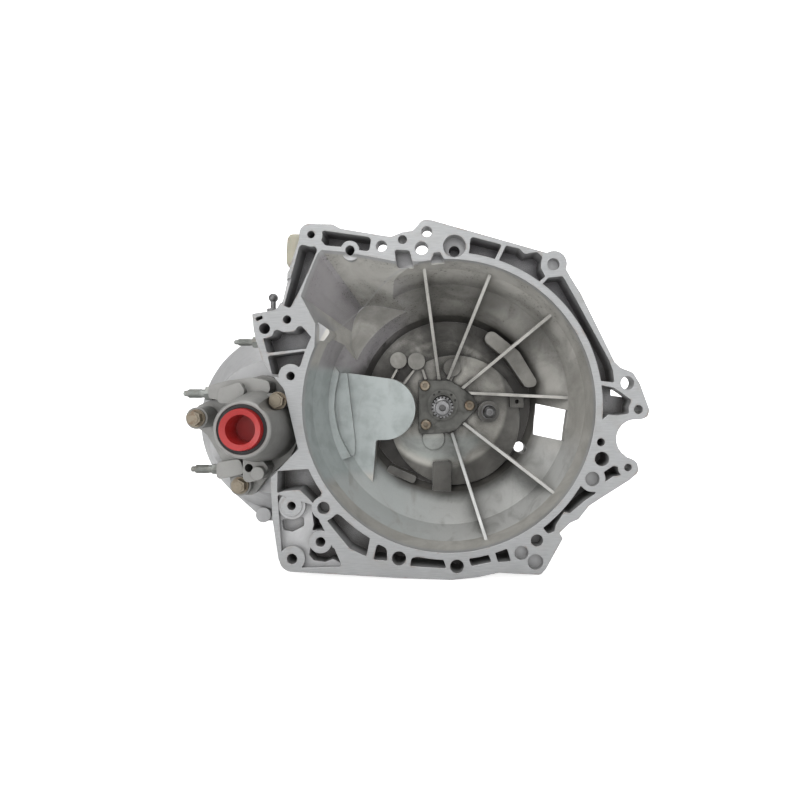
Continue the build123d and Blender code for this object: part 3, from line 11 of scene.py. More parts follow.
import bmesh
import bpy
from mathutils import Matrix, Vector
from mathutils.bvhtree import BVHTree


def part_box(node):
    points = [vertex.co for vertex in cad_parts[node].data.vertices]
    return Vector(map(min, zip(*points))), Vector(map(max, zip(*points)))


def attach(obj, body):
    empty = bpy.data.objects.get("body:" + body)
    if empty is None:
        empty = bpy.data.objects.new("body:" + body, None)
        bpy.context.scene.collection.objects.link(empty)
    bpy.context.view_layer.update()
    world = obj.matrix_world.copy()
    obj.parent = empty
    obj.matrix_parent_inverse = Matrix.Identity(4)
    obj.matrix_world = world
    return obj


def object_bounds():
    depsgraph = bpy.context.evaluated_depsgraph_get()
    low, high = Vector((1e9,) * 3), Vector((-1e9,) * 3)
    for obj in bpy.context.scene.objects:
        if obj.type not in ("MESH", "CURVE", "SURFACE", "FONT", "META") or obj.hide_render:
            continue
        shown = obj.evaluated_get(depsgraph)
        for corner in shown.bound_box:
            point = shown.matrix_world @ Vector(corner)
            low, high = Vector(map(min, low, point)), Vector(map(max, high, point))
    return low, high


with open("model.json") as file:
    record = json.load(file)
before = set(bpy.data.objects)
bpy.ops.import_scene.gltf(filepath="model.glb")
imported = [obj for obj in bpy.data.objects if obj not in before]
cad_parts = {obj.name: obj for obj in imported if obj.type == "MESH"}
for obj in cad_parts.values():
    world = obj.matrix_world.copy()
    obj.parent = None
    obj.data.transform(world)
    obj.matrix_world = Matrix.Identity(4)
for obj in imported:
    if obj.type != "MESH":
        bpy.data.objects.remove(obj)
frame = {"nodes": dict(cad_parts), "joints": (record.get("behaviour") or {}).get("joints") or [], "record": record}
CAD_LO, CAD_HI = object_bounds()
NODES = frame["nodes"]
SLOT_OF = {part["node"]: part["material_slot"] for part in frame["record"]["subparts"]}


# ------------------------------------------------------------------ places read from the frame
def joint_place(name):
    return next(Vector(joint["pos_m"]) for joint in frame["joints"] if joint["name"] == name)


PLATE_LO, PLATE_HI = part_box("guide_sleeve")
HOUSE_LO, HOUSE_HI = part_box("clutch_housing")
SNOUT_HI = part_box("diff_extension_housing")[1]
DIFFERENTIAL = joint_place("differential_spin")
SHAFT = joint_place("input_shaft_spin")
PLATE_R = 0.5 * (PLATE_HI.x - PLATE_LO.x)
MOUTH_Y = HOUSE_LO.y          # plane of the joint face
SEAT_Y = PLATE_HI.y           # seat of the guide plate; a ring round it lies deeper


def mesh_tree(mesh):
    return BVHTree.FromPolygons([v.co.copy() for v in mesh.vertices],
                                [tuple(p.vertices) for p in mesh.polygons])


HOUSING_TREE = mesh_tree(NODES["clutch_housing"].data)


def depth(x, z):
    """The y where a ray from in front of the mouth meets the casting, or None where it is open."""
    hit = HOUSING_TREE.ray_cast(Vector((x, MOUTH_Y - 0.05, z)), Vector((0, 1, 0)))[0]
    return None if hit is None else hit.y


def mouth_rim():
    """(x, z) where rays stepping out from the shaft first meet the joint face."""
    directions, step, face_tolerance = 240, 0.0004, 0.0008
    reach = 0.5 * (HOUSE_HI.z - HOUSE_LO.z)
    rim = []
    for i in range(directions):
        angle = 2 * math.pi * i / directions
        radius = 0.66 * reach
        while radius < reach:
            x, z = SHAFT.x + radius * math.cos(angle), SHAFT.z + radius * math.sin(angle)
            met = depth(x, z)
            if met is not None and met < MOUTH_Y + face_tolerance:
                rim.append((x, z))
                break
            radius += step
    return rim


def mouth_circle():
    """Centre and radius of the mouth, fitted to the nearest 60% of the rim points."""
    rim = mouth_rim()
    keep = rim
    for _ in range(40):
        cx, cz = SHAFT.x, SHAFT.z
        for _ in range(60):
            away = [math.hypot(x - cx, z - cz) for x, z in keep]
            radius = sum(away) / len(away)
            cx, cz = (
                sum(x + radius * (cx - x) / d for (x, _), d in zip(keep, away)) / len(keep),
                sum(z + radius * (cz - z) / d for (_, z), d in zip(keep, away)) / len(keep))
        misses = sorted(abs(math.hypot(x - cx, z - cz) - radius) for x, z in rim)
        limit = max(misses[int(0.60 * len(rim))], 0.0003)
        keep = [(x, z) for x, z in rim if abs(math.hypot(x - cx, z - cz) - radius) <= limit]
    return Vector((cx, 0.0, cz)), radius


BELL, MOUTH_R = mouth_circle()

# a flat tongue of the casting, met half way between the two axes
HALF_WAY = (SHAFT + DIFFERENTIAL) / 2
TONGUE_Y = depth(HALF_WAY.x, HALF_WAY.z)


def tongue_end(step):
    """The z where the tongue stops being flat, going up or down by step."""
    z = HALF_WAY.z
    while True:
        met = depth(HALF_WAY.x, z + step)
        if met is None or abs(met - TONGUE_Y) > 0.0015 or abs(z - HALF_WAY.z) > MOUTH_R:
            return z
        z += step


TONGUE_TOP, TONGUE_LOW = tongue_end(0.002), tongue_end(-0.002)


# ------------------------------------------------------------------ a small writer for shader nodes
class Value:
    """A node's output. Arithmetic on it makes Math nodes in its material."""

    def __init__(self, mat, socket):
        self.mat, self.socket = mat, socket

    def __add__(self, other):
        return self.mat.math("ADD", self, other)

    def __sub__(self, other):
        return self.mat.math("SUBTRACT", self, other)

    def __rsub__(self, other):
        return self.mat.math("SUBTRACT", other, self)

    def __mul__(self, other):
        return self.mat.math("MULTIPLY", self, other)

    def max(self, other):
        return self.mat.math("MAXIMUM", self, other)

    def ramp(self, off, on, origin=0.0):
        """Smoothly 0 at off and 1 at on, both measured from origin; off may be above on."""
        off, on = origin + off, origin + on
        limits = (off, on, 0.0, 1.0) if off < on else (on, off, 1.0, 0.0)
        return self.mat.value("ShaderNodeMapRange", dict(enumerate((self, *limits))),
                              interpolation_type="SMOOTHSTEP")


class Mat:
    """A principled material. Masks run from 0 to 1, and colours are linear RGB."""

    INPUTS = {"color": "Base Color", "metallic": "Metallic", "rough": "Roughness",
              "normal": "Normal", "coat": "Coat Weight", "coat_rough": "Coat Roughness",
              "sss": "Subsurface Weight", "glow_color": "Emission Color",
              "glow": "Emission Strength"}
    UPWARDS = (0.0, -0.62, 0.78)      # up, leaning out of the mouth

    def __init__(self, name):
        self.material = bpy.data.materials.new(name)
        self.material.use_nodes = True
        self.tree = self.material.node_tree
        self.tree.nodes.clear()
        output = self.node("ShaderNodeOutputMaterial")
        self.shader = self.node("ShaderNodeBsdfPrincipled")
        self.tree.links.new(self.shader.outputs[0], output.inputs[0])
        self.place = self.value("ShaderNodeTexCoord", output="Object")

    def put(self, value, socket):
        if isinstance(value, Value):
            self.tree.links.new(value.socket, socket)
        elif isinstance(value, tuple) and socket.type == "RGBA":
            socket.default_value = (*value, 1.0)
        else:
            socket.default_value = value

    def node(self, kind, inputs={}, **props):
        node = self.tree.nodes.new(kind)
        for key, value in props.items():
            setattr(node, key, value)
        for key, value in inputs.items():
            self.put(value, node.inputs[key])
        return node

    def value(self, kind, inputs={}, output=0, **props):
        return Value(self, self.node(kind, inputs, **props).outputs[output])

    @cached_property
    def true_normal(self):
        return self.value("ShaderNodeNewGeometry", output="Normal")

    def split_place(self):
        """The object coordinates as x, y and z."""
        node = self.node("ShaderNodeSeparateXYZ", {0: self.place})
        return [Value(self, socket) for socket in node.outputs]

    def facing(self, axis):
        """The true normal's share along an axis, signed."""
        turned = self.value("ShaderNodeVectorTransform", {0: self.true_normal},
                            vector_type="NORMAL", convert_from="WORLD", convert_to="OBJECT")
        return self.value("ShaderNodeSeparateXYZ", {0: turned}, output="XYZ".index(axis))

    def math(self, operation, *values, clamp=False):
        return self.value("ShaderNodeMath", dict(enumerate(values)),
                          operation=operation, use_clamp=clamp)

    def mix(self, mask, under, over, strength=None):
        """Colour under where the mask is 0 and over where it is 1; strength scales the mask."""
        mask = mask if strength is None else mask * strength
        return self.value("ShaderNodeMix", {0: mask, 6: under, 7: over}, output=2,
                          data_type="RGBA")

    def blend(self, mask, under, over, strength=None):
        """The same as mix, for plain numbers."""
        mask = mask if strength is None else mask * strength
        return self.value("ShaderNodeMix", {0: mask, 2: under, 3: over}, data_type="FLOAT")

    def scaled(self, scale, location=(0, 0, 0)):
        return self.value("ShaderNodeMapping", {0: self.place, 1: location, 3: scale})

    def noise(self, scale, detail, rough=0.55, distort=0.0, place=None):
        return self.value("ShaderNodeTexNoise", {
            "Vector": place or self.place, "Scale": scale, "Detail": detail,
            "Roughness": rough, "Distortion": distort})

    def cells(self, scale):
        return self.value("ShaderNodeTexVoronoi", {"Vector": self.place, "Scale": scale})

    def bevel(self, radius, samples=4):
        return self.value("ShaderNodeBevel", {0: radius}, samples=samples)

    def edge(self, soft_normal, off, on):
        """1 on edges and 0 on flats: how far the softened normal leans from the true one."""
        dot = self.value("ShaderNodeVectorMath", {0: soft_normal, 1: self.true_normal},
                         output="Value", operation="DOT_PRODUCT")
        return (1.0 - dot).ramp(off, on)

    def hollow(self, distance, samples):
        """How enclosed a point is, seen within a distance."""
        return 1.0 - self.value("ShaderNodeAmbientOcclusion", {"Distance": distance},
                                output="AO", samples=samples)

    def under(self, distance):
        """How much stands above a point: occlusion sought upwards, not along the normal."""
        node = self.node("ShaderNodeAmbientOcclusion",
                         {"Distance": distance, "Normal": self.UPWARDS}, samples=6)
        up = self.value("ShaderNodeCombineXYZ", dict(enumerate(self.UPWARDS)))
        self.put(up, node.inputs["Normal"])
        return 1.0 - Value(self, node.outputs["AO"])

    def bump(self, height, strength, distance, normal):
        return self.value("ShaderNodeBump", {"Strength": strength, "Distance": distance,
                                             "Height": height, "Normal": normal})

    def finish(self, **values):
        for key, value in values.items():
            self.put(value, self.shader.inputs[self.INPUTS[key]])
        return self.material


def shade(color, gain, lift=0.0):
    return tuple(min(1.0, c * gain + lift) for c in color)


# ------------------------------------------------------------------ staining, painted light and painted shade of the open bell
class Stain:
    """Linear colours of the bell's layers; a pair is mixed by a pattern."""
    WALL = (0.560, 0.548, 0.512), (0.330, 0.320, 0.292)
    BED = (0.620, 0.606, 0.556), (0.290, 0.278, 0.248)
    # painted shade: a darker violet for faces that look down and to +X
    LILAC = (0.300, 0.282, 0.312)
    SPECK = (0.060, 0.055, 0.050)
    PALE = (0.405, 0.445, 0.440), (0.335, 0.370, 0.364)
    PALE_STREAK = (0.235, 0.235, 0.225)
    # painted light: pale colours for the sloping faces that look up and to one side
    LIT = (0.540, 0.548, 0.532), (0.360, 0.362, 0.345)
    LIT_COOL = (0.480, 0.525, 0.518)
    APRON = (0.330, 0.360, 0.352), (0.200, 0.212, 0.204)
    # black for painted shade in the ring, the corners and under ledges, and for the seam round the guide plate
    BLACK = (0.040, 0.037, 0.034), (0.016, 0.015, 0.014)
    MILLED = (0.345, 0.352, 0.357), (0.405, 0.411, 0.416)
    SMEAR = (0.330, 0.322, 0.308)
    RUST = (0.290, 0.180, 0.110)
    SHORE_RUST = (0.235, 0.150, 0.098)
    BURR = (0.640, 0.645, 0.645)
    # dark oil that also stands for painted shade in the enclosed pockets; darker low down
    OIL_AND_SHADE = (0.030, 0.027, 0.026), (0.086, 0.082, 0.090)


class BellStains:
    """Masks of places in the bell, and one method for each layer that is laid there."""

    def __init__(self, m, edges, mottle, hollow, tight):
        self.m, self.edges, self.mottle, self.hollow, self.tight = m, edges, mottle, hollow, tight
        self.x, self.y, self.z = m.split_place()
        self.nx, self.ny, self.nz = m.facing("X"), m.facing("Y"), m.facing("Z")
        self.from_bell = self.distance_from(BELL)
        self.from_shaft = self.distance_from(SHAFT)
        # square to the mouth, and leaning towards it
        self.face_on = self.ny.ramp(off=-0.975, on=-0.995)
        self.slope = self.ny.ramp(off=-0.22, on=-0.34) * self.ny.ramp(off=-0.985, on=-0.95)
        # levels: towards the plate's seat, and the deeper ring
        self.floor = self.y.ramp(off=-0.018, on=-0.009, origin=SEAT_Y)
        self.ring = self.y.ramp(off=0.0020, on=0.0050, origin=SEAT_Y)
        self.low = self.z.ramp(off=0.050, on=-0.030, origin=SHAFT.z)
        self.place_insides()
        self.place_clean_and_lit()
        self.make_patterns()
        self.place_apron()

    def distance_from(self, centre):
        """Distance from the line through the centre along Y."""
        dx, dz = self.x - centre.x, self.z - centre.z
        return self.m.math("SQRT", dx * dx + dz * dz)

    def place_insides(self):
        """The inside of the cone, and the sloping horn that opens outside the mouth circle."""
        x, y, z, r = self.x, self.y, self.z, self.from_bell
        # only faces that look at the mouth or sideways
        self.front = self.ny.ramp(off=0.14, on=0.04)
        inside = (r.ramp(off=0.0004, on=-0.0010, origin=MOUTH_R)
                  * y.ramp(off=0.0025, on=0.010, origin=MOUTH_Y))
        self.inside = inside * (self.front * y.ramp(off=0.0135, on=0.0125, origin=SEAT_Y))
        horn = (self.slope * r.ramp(off=-0.002, on=0.002, origin=MOUTH_R)
                * y.ramp(off=0.0025, on=0.006, origin=MOUTH_Y))
        # it ends at the snout's edge and near the top of the tongue
        horn = horn * (x.ramp(off=-0.002, on=0.001, origin=SNOUT_HI.x)
                       * z.ramp(off=-0.014, on=-0.004, origin=TONGUE_TOP))
        self.horn = horn * y.ramp(off=-0.008, on=-0.014, origin=SEAT_Y)
        self.within = self.inside.max(self.horn * self.front)

    def place_clean_and_lit(self):
        """The tongue, which stays unstained, and painted light on the sloping faces in the cone that look up, and
        on those below the shaft that look to +X.
        """
        x, y, z = self.x, self.y, self.z
        self.tongue = ((x.ramp(off=0.0, on=-0.014, origin=SHAFT.x)
                        * y.ramp(off=0.010, on=0.003, origin=TONGUE_Y))
                       * (z.ramp(off=0.012, on=0.0, origin=TONGUE_TOP)
                          * z.ramp(off=-0.012, on=0.0, origin=TONGUE_LOW)))
        # painted light: sloping faces that look up, and those below the shaft that look to +X, turn pale as where
        # light falls on them
        lit_side = (self.nx.ramp(off=0.08, on=0.42)
                  * z.ramp(off=0.012, on=-0.030, origin=SHAFT.z))
        lit_faces = (self.nz.ramp(off=0.16, on=0.48).max(lit_side) * self.slope
                  * ((1.0 - self.floor) * self.inside))
        lit_share = 0.80
        self.clean_and_lit = (self.tongue * self.within).max(lit_faces * lit_share)

    def make_patterns(self):
        m = self.m
        self.soot = m.noise(scale=24.0, detail=7, rough=0.62, distort=0.9)
        self.swirl = m.noise(scale=9.0, detail=6, rough=0.60, distort=1.2,
                             place=m.scaled((1.0, 0.6, 1.0), location=(0.31, 0, 0.12)))
        soot_share, swirl_share = 0.55, 0.45
        self.wash = (self.soot.ramp(off=0.36, on=0.66) * soot_share
                     + self.swirl.ramp(off=0.40, on=0.64) * swirl_share)
        # signed patterns, centred on 0, that break up the borders of other masks
        centre, spread = 0.5, 0.9
        self.ragged = (self.soot - centre) * spread
        self.coarse = (self.swirl - centre) * spread

    def place_apron(self):
        """The flat round the shaft below the guide plate."""
        border_wander = 0.030     # metres
        wavy = self.from_shaft + self.coarse * border_wander
        apron = (wavy.ramp(off=PLATE_R * 2.15, on=PLATE_R * 1.75)
                 * self.z.ramp(off=0.006, on=-0.008, origin=PLATE_LO.z))
        self.apron = (apron * self.y.ramp(off=-0.014, on=-0.008, origin=SEAT_Y)
                      * (1.0 - self.ring))

    def flat_apron(self):
        return self.apron * self.ny.ramp(off=-0.80, on=-0.97)

    def warm_soot_and_shade(self, color):
        """Warm soot on the walls and floor, with a darker violet painted shade on sloping faces that look down and
        to +X; returns the colour and how much of it shows.
        """
        m, nx, nz = self.m, self.nx, self.nz
        flat_share, coverage, edge_wear, speck_share = 0.85, 0.92, 0.70, 0.75
        speck = m.noise(scale=420.0, detail=4, rough=0.7).ramp(off=0.56, on=0.64)
        wall = m.mix(self.wash, *Stain.WALL)
        bed = m.mix(self.wash, *Stain.BED)
        stain = m.mix(self.floor.max(self.face_on * flat_share), wall, bed)
        # painted shade: a darker violet tone on sloping faces that look down and to +X
        lilac_shade = nx.ramp(off=0.20, on=0.50) * nz.ramp(off=0.02, on=-0.22) * self.slope
        stain = m.mix(lilac_shade, stain, Stain.LILAC, strength=0.70)
        ceiling = nz.ramp(off=-0.15, on=-0.50)
        specks = speck * ceiling * (self.soot.ramp(off=0.46, on=0.58) * speck_share)
        stain = m.mix(specks, stain, Stain.SPECK)
        amount = self.within * (1.0 - self.clean_and_lit) * coverage
        amount = amount * (1.0 - self.edges * edge_wear)
        return m.mix(amount, color, stain), amount

    def pale_clean_and_lit(self, color):
        """Painted light: pale metal on the sloping faces that look up and to one side; cooler pale metal on the
        tongue.
        """
        m = self.m
        pale = m.mix(self.mottle.ramp(off=0.38, on=0.70), *Stain.PALE)
        streak = m.noise(scale=26.0, detail=6, rough=0.6, distort=1.6,
                         place=m.scaled((1.6, 1.0, 0.45)))
        pale = m.mix(streak.ramp(off=0.58, on=0.76), pale, Stain.PALE_STREAK, strength=0.45)
        lit_color = m.mix(streak.ramp(off=0.46, on=0.70), *Stain.LIT)
        cool = (self.x.ramp(off=0.030, on=-0.060, origin=SHAFT.x)
                * streak.ramp(off=0.78, on=0.46))
        lit_color = m.mix(cool, lit_color, Stain.LIT_COOL, strength=0.80)
        pale = m.mix(self.tongue * self.within, lit_color, pale)
        # off the tongue this pale is painted light on the slopes that look up and to one side; on the tongue it is
        # the metal's own pale
        color = m.mix(self.clean_and_lit, color, pale, strength=0.92)
        return m.mix(self.flat_apron(), color, m.mix(self.wash, *Stain.APRON), strength=0.80)

    def ring_shade(self, deep):
        """Black painted shade in the deep ring, most of all below the shaft."""
        low_share, deep_share = 0.80, 0.80
        amount = self.low * low_share + deep * deep_share + self.ragged
        return self.ring * amount.ramp(off=0.30, on=0.66)

    def creeping_shadow(self, deep):
        """Black painted shadow that spreads from the ring up the wall around it."""
        border_wander = 0.016     # metres
        coarse_share, ragged_share, low_share = 1.3, 0.8, 0.85
        creep = ((self.y + self.coarse * border_wander).ramp(off=-0.026, on=-0.010, origin=SEAT_Y)
                 * self.from_shaft.ramp(off=PLATE_R * 2.05, on=PLATE_R * 2.25))
        amount = (deep + self.coarse * coarse_share + self.ragged * ragged_share
                  + self.low * low_share)
        return creep * amount.ramp(off=0.16, on=0.38)

    def shelf_darkening(self):
        """Black on flat pads between the depths of the tongue and the plate's seat, stronger below the shaft."""
        level, upper_loss, coarse_share, ragged_share = 0.62, 0.14, 0.6, 0.4
        shelf = self.face_on * (self.y.ramp(off=0.004, on=0.006, origin=TONGUE_Y)
                                * self.y.ramp(off=-0.0060, on=-0.0070, origin=SEAT_Y))
        amount = (level - (1.0 - self.low) * upper_loss + self.coarse * coarse_share
                  + self.ragged * ragged_share)
        shelf = shelf * self.within * amount.ramp(off=0.20, on=0.46)
        return shelf * self.m.blend(self.low, under=0.62, over=0.90)

    def black_shade_and_seam(self, color):
        """Black painted shade in the ring, on the wall round it, under ledges and in the floor's corners, with
        black on the shelf pads and in the seam round the guide plate; returns the colour and the black's mask.
        """
        m = self.m
        ragged_shelter, ragged_corner = 0.45, 0.6
        creep_share, shelter_share, recess_share = 0.85, 0.75, 0.80
        tongue_loss, edge_wear, apron_loss = 0.92, 0.55, 0.6
        deep = m.hollow(distance=0.045, samples=8)
        # painted shadow under whatever stands above a point, and painted shade in the floor's corners
        sheltered = ((m.under(distance=0.030) + self.ragged * ragged_shelter)
                     .ramp(off=0.34, on=0.62)
                     * self.y.ramp(off=0.030, on=0.060, origin=MOUTH_Y))
        corner = (self.hollow + self.ragged * ragged_corner).ramp(off=0.38, on=0.70) * self.floor
        recesses = (sheltered * shelter_share).max(corner) * recess_share
        black = self.ring_shade(deep).max(self.creeping_shadow(deep) * creep_share).max(recesses)
        black = black * self.within * (1.0 - self.tongue * tongue_loss)
        black = black * (1.0 - self.edges * edge_wear)
        black = black * (1.0 - self.flat_apron() * apron_loss)
        black = black.max(self.shelf_darkening())
        # the seam round the guide plate
        seam = (self.tight.ramp(off=0.16, on=0.42)
                * self.from_shaft.ramp(off=PLATE_R * 1.50, on=PLATE_R * 1.30)
                * self.y.ramp(off=-0.004, on=-0.002, origin=SEAT_Y))
        black = black.max(seam)
        return m.mix(black, color, m.mix(self.wash, *Stain.BLACK), strength=0.93), black

    def mill(self, color, rough):
        """The machined joint face: milling lines, smears, rust and a bright burr on each lip."""
        m = self.m
        lines = m.noise(scale=1500.0, detail=2, rough=0.5, place=m.scaled((0.05, 0.05, 1.0)))
        milled = m.mix(lines.ramp(off=0.35, on=0.65), *Stain.MILLED)
        smear = m.noise(scale=34.0, detail=5, rough=0.6, distort=0.8)
        milled = m.mix(smear.ramp(off=0.50, on=0.74), milled, Stain.SMEAR, strength=0.50)
        rust = m.noise(scale=46.0, detail=6, rough=0.66, distort=0.5)
        milled = m.mix(rust.ramp(off=0.66, on=0.76), milled, Stain.RUST, strength=0.55)
        # rust starts at the holes and corners
        lip = m.edge(m.bevel(radius=0.0007), off=0.010, on=0.12)
        shore = m.edge(m.bevel(radius=0.0034, samples=6), off=0.004, on=0.10)
        flecks = m.noise(scale=70.0, detail=6, rough=0.68, distort=0.6)
        milled = m.mix(shore * flecks.ramp(off=0.52, on=0.66), milled, Stain.SHORE_RUST,
                       strength=0.62)
        milled = m.mix(lip, milled, Stain.BURR, strength=0.60)
        top = self.face_on * self.y.ramp(off=0.0016, on=0.0006, origin=MOUTH_Y)
        return (m.mix(top, color, milled, strength=0.95),
                m.blend(top, rough, over=0.40, strength=0.9))

    def oil_and_shade_pockets(self, color, rough):
        """Dark, shiny oil in the pockets behind the flange, outside the mouth circle, with painted shade: it shows
        most where the pockets are most enclosed.
        """
        m, y = self.m, self.y
        pocket = (self.from_bell.ramp(off=0.0012, on=0.0034, origin=MOUTH_R)
                  * y.ramp(off=0.006, on=0.020, origin=MOUTH_Y) * (1.0 - self.horn))
        pocket = pocket * (self.front * y.ramp(off=0.040, on=0.033, origin=MOUTH_Y))
        # painted shade: the dark shows most where AO finds the pocket enclosed
        pocket = pocket * self.hollow.ramp(off=0.20, on=0.62)
        oil = m.mix(self.z.ramp(off=-0.02, on=0.10, origin=BELL.z), *Stain.OIL_AND_SHADE)
        return (m.mix(pocket, color, oil, strength=0.88),
                m.blend(pocket, rough, over=0.30, strength=0.8))

    def lay(self, color, rough, metallic):
        """All layers in order; returns the new colour, roughness and metallic value."""
        color, sooted = self.warm_soot_and_shade(color)
        color = self.pale_clean_and_lit(color)
        color, black = self.black_shade_and_seam(color)
        color, rough = self.mill(color, rough)
        color, rough = self.oil_and_shade_pockets(color, rough)
        metallic = self.m.blend(sooted.max(black.max(self.clean_and_lit)), metallic, over=0.22,
                                strength=0.9)
        return color, rough, metallic


# ------------------------------------------------------------------ material recipes
def cast(name, base, dark, dirt_and_shade, grain=1.0, bell=False):
    """Bead-blasted cast aluminium, with grime and painted shade in its hollows and worn edges with a painted
    highlight; bell adds the staining, painted light and painted shade of the open bell.
    """
    m = Mat(name)
    rough, metallic = 0.50, 0.55
    soft_normal = m.bevel(radius=0.0011)
    edges = m.edge(soft_normal, off=0.02, on=0.30)
    cloud = m.noise(scale=14.0, detail=5, distort=0.4)
    mottle = m.noise(scale=60.0, detail=6, rough=0.62, distort=0.2)
    hollow = m.hollow(distance=0.020, samples=6)
    tight = m.hollow(distance=0.006, samples=4)

    color = m.mix(cloud.ramp(off=0.35, on=0.68),
                  shade(base, gain=0.90), shade(base, gain=1.06))
    color = m.mix(mottle.ramp(off=0.42, on=0.72), color, shade(base, gain=0.74), strength=0.28)
    rough = m.blend(mottle.ramp(off=0.35, on=0.70), under=rough - 0.07, over=rough + 0.09)
    if bell:
        stains = BellStains(m, edges, mottle, hollow, tight)
        color, rough, metallic = stains.lay(color, rough, metallic)

    # grime and painted shade: darker in hollows and tight corners
    hollow_share, tight_share = 0.55, 0.60
    grime_and_shade = m.math("MULTIPLY", hollow * hollow_share + tight * tight_share,
                   cloud.ramp(off=0.28, on=0.62), clamp=True)
    color = m.mix(grime_and_shade, color, dark, strength=dirt_and_shade)
    # worn edges, lighter also as a painted highlight
    color = m.mix(edges, color, shade(base, gain=1.38), strength=0.38)

    fine_share, pore_share = 0.50, 0.50
    fine = m.noise(scale=900.0, detail=5, rough=0.65)
    pores = m.cells(scale=520.0).ramp(off=0.0, on=0.45)
    normal = m.bump(m.noise(scale=150.0, detail=5, rough=0.58),
                    strength=0.30 * grain, distance=0.0006, normal=soft_normal)
    normal = m.bump(fine * fine_share + pores * pore_share,
                    strength=0.34 * grain, distance=0.00022, normal=normal)
    return m.finish(color=color, metallic=metallic, rough=rough, normal=normal)


METAL_RUST = (0.16, 0.085, 0.045)


def metal(name, base, dark, rough, oil, metallic=1.0, rust=0.0, axis="Y"):
    """Turned, ground or plated metal: marks round an axis, oil and painted shade in corners, and worn edges with a
    painted highlight.
    """
    m = Mat(name)
    soft_normal = m.bevel(radius=0.0004)
    edges = m.edge(soft_normal, off=0.02, on=0.25)
    mottle = m.noise(scale=90.0, detail=6, rough=0.6, distort=0.4)
    patches = m.noise(scale=34.0, detail=5, rough=0.62, distort=0.8)
    color = m.mix(mottle.ramp(off=0.35, on=0.68), shade(base, gain=0.82), base)
    color = m.mix(patches.ramp(off=0.48, on=0.70), color, dark, strength=oil)
    if rust:
        flecks = m.noise(scale=130.0, detail=7, rough=0.68, distort=0.4)
        color = m.mix(flecks.ramp(off=0.50, on=0.62), color, METAL_RUST, strength=rust)
    # oil and painted shade: darker in corners
    color = m.mix(m.hollow(distance=0.005, samples=4), color, dark, strength=0.60)
    # worn edges, lighter also as a painted highlight
    color = m.mix(edges, color, shade(base, gain=1.35), strength=0.45)
    along = tuple(1.0 if letter == axis else 0.04 for letter in "XYZ")
    marks = m.noise(scale=2600.0, detail=2, rough=0.5, place=m.scaled(along))
    normal = m.bump(marks, strength=0.10, distance=0.00006, normal=soft_normal)
    normal = m.bump(m.noise(scale=700.0, detail=4, rough=0.6),
                    strength=0.12, distance=0.00010, normal=normal)
    rough = m.blend(patches.ramp(off=0.40, on=0.70), under=rough, over=rough + 0.16)
    return m.finish(color=color, metallic=metallic, rough=rough, normal=normal)


def plastic(name, base, dark, rough, sss=0.0, dust=0.25, coat=0.0):
    """Moulded plastic or rubber: flow lines, a fine skin, dust, painted shade in corners and scuffed edges with a
    painted highlight.
    """
    m = Mat(name)
    soft_normal = m.bevel(radius=0.0006)
    edges = m.edge(soft_normal, off=0.02, on=0.30)
    flow = m.noise(scale=30.0, detail=5, distort=1.4)
    scuff = m.noise(scale=240.0, detail=6, rough=0.7, distort=0.6)
    color = m.mix(flow.ramp(off=0.32, on=0.70), shade(base, gain=0.88), base)
    color = m.mix(scuff.ramp(off=0.56, on=0.72), color, shade(base, gain=0.7, lift=0.06),
                  strength=dust)
    # painted shade: darker in corners
    color = m.mix(m.hollow(distance=0.008, samples=4), color, dark, strength=0.55)
    # scuffed edges, lighter also as a painted highlight
    color = m.mix(edges, color, shade(base, gain=1.2, lift=0.03), strength=0.30)
    normal = m.bump(m.noise(scale=1100.0, detail=3),
                    strength=0.10, distance=0.00012, normal=soft_normal)
    rough = m.blend(scuff.ramp(off=0.40, on=0.70), under=rough, over=rough + 0.20)
    return m.finish(color=color, metallic=0.0, rough=rough, normal=normal, sss=sss,
                    coat=coat, coat_rough=0.25)


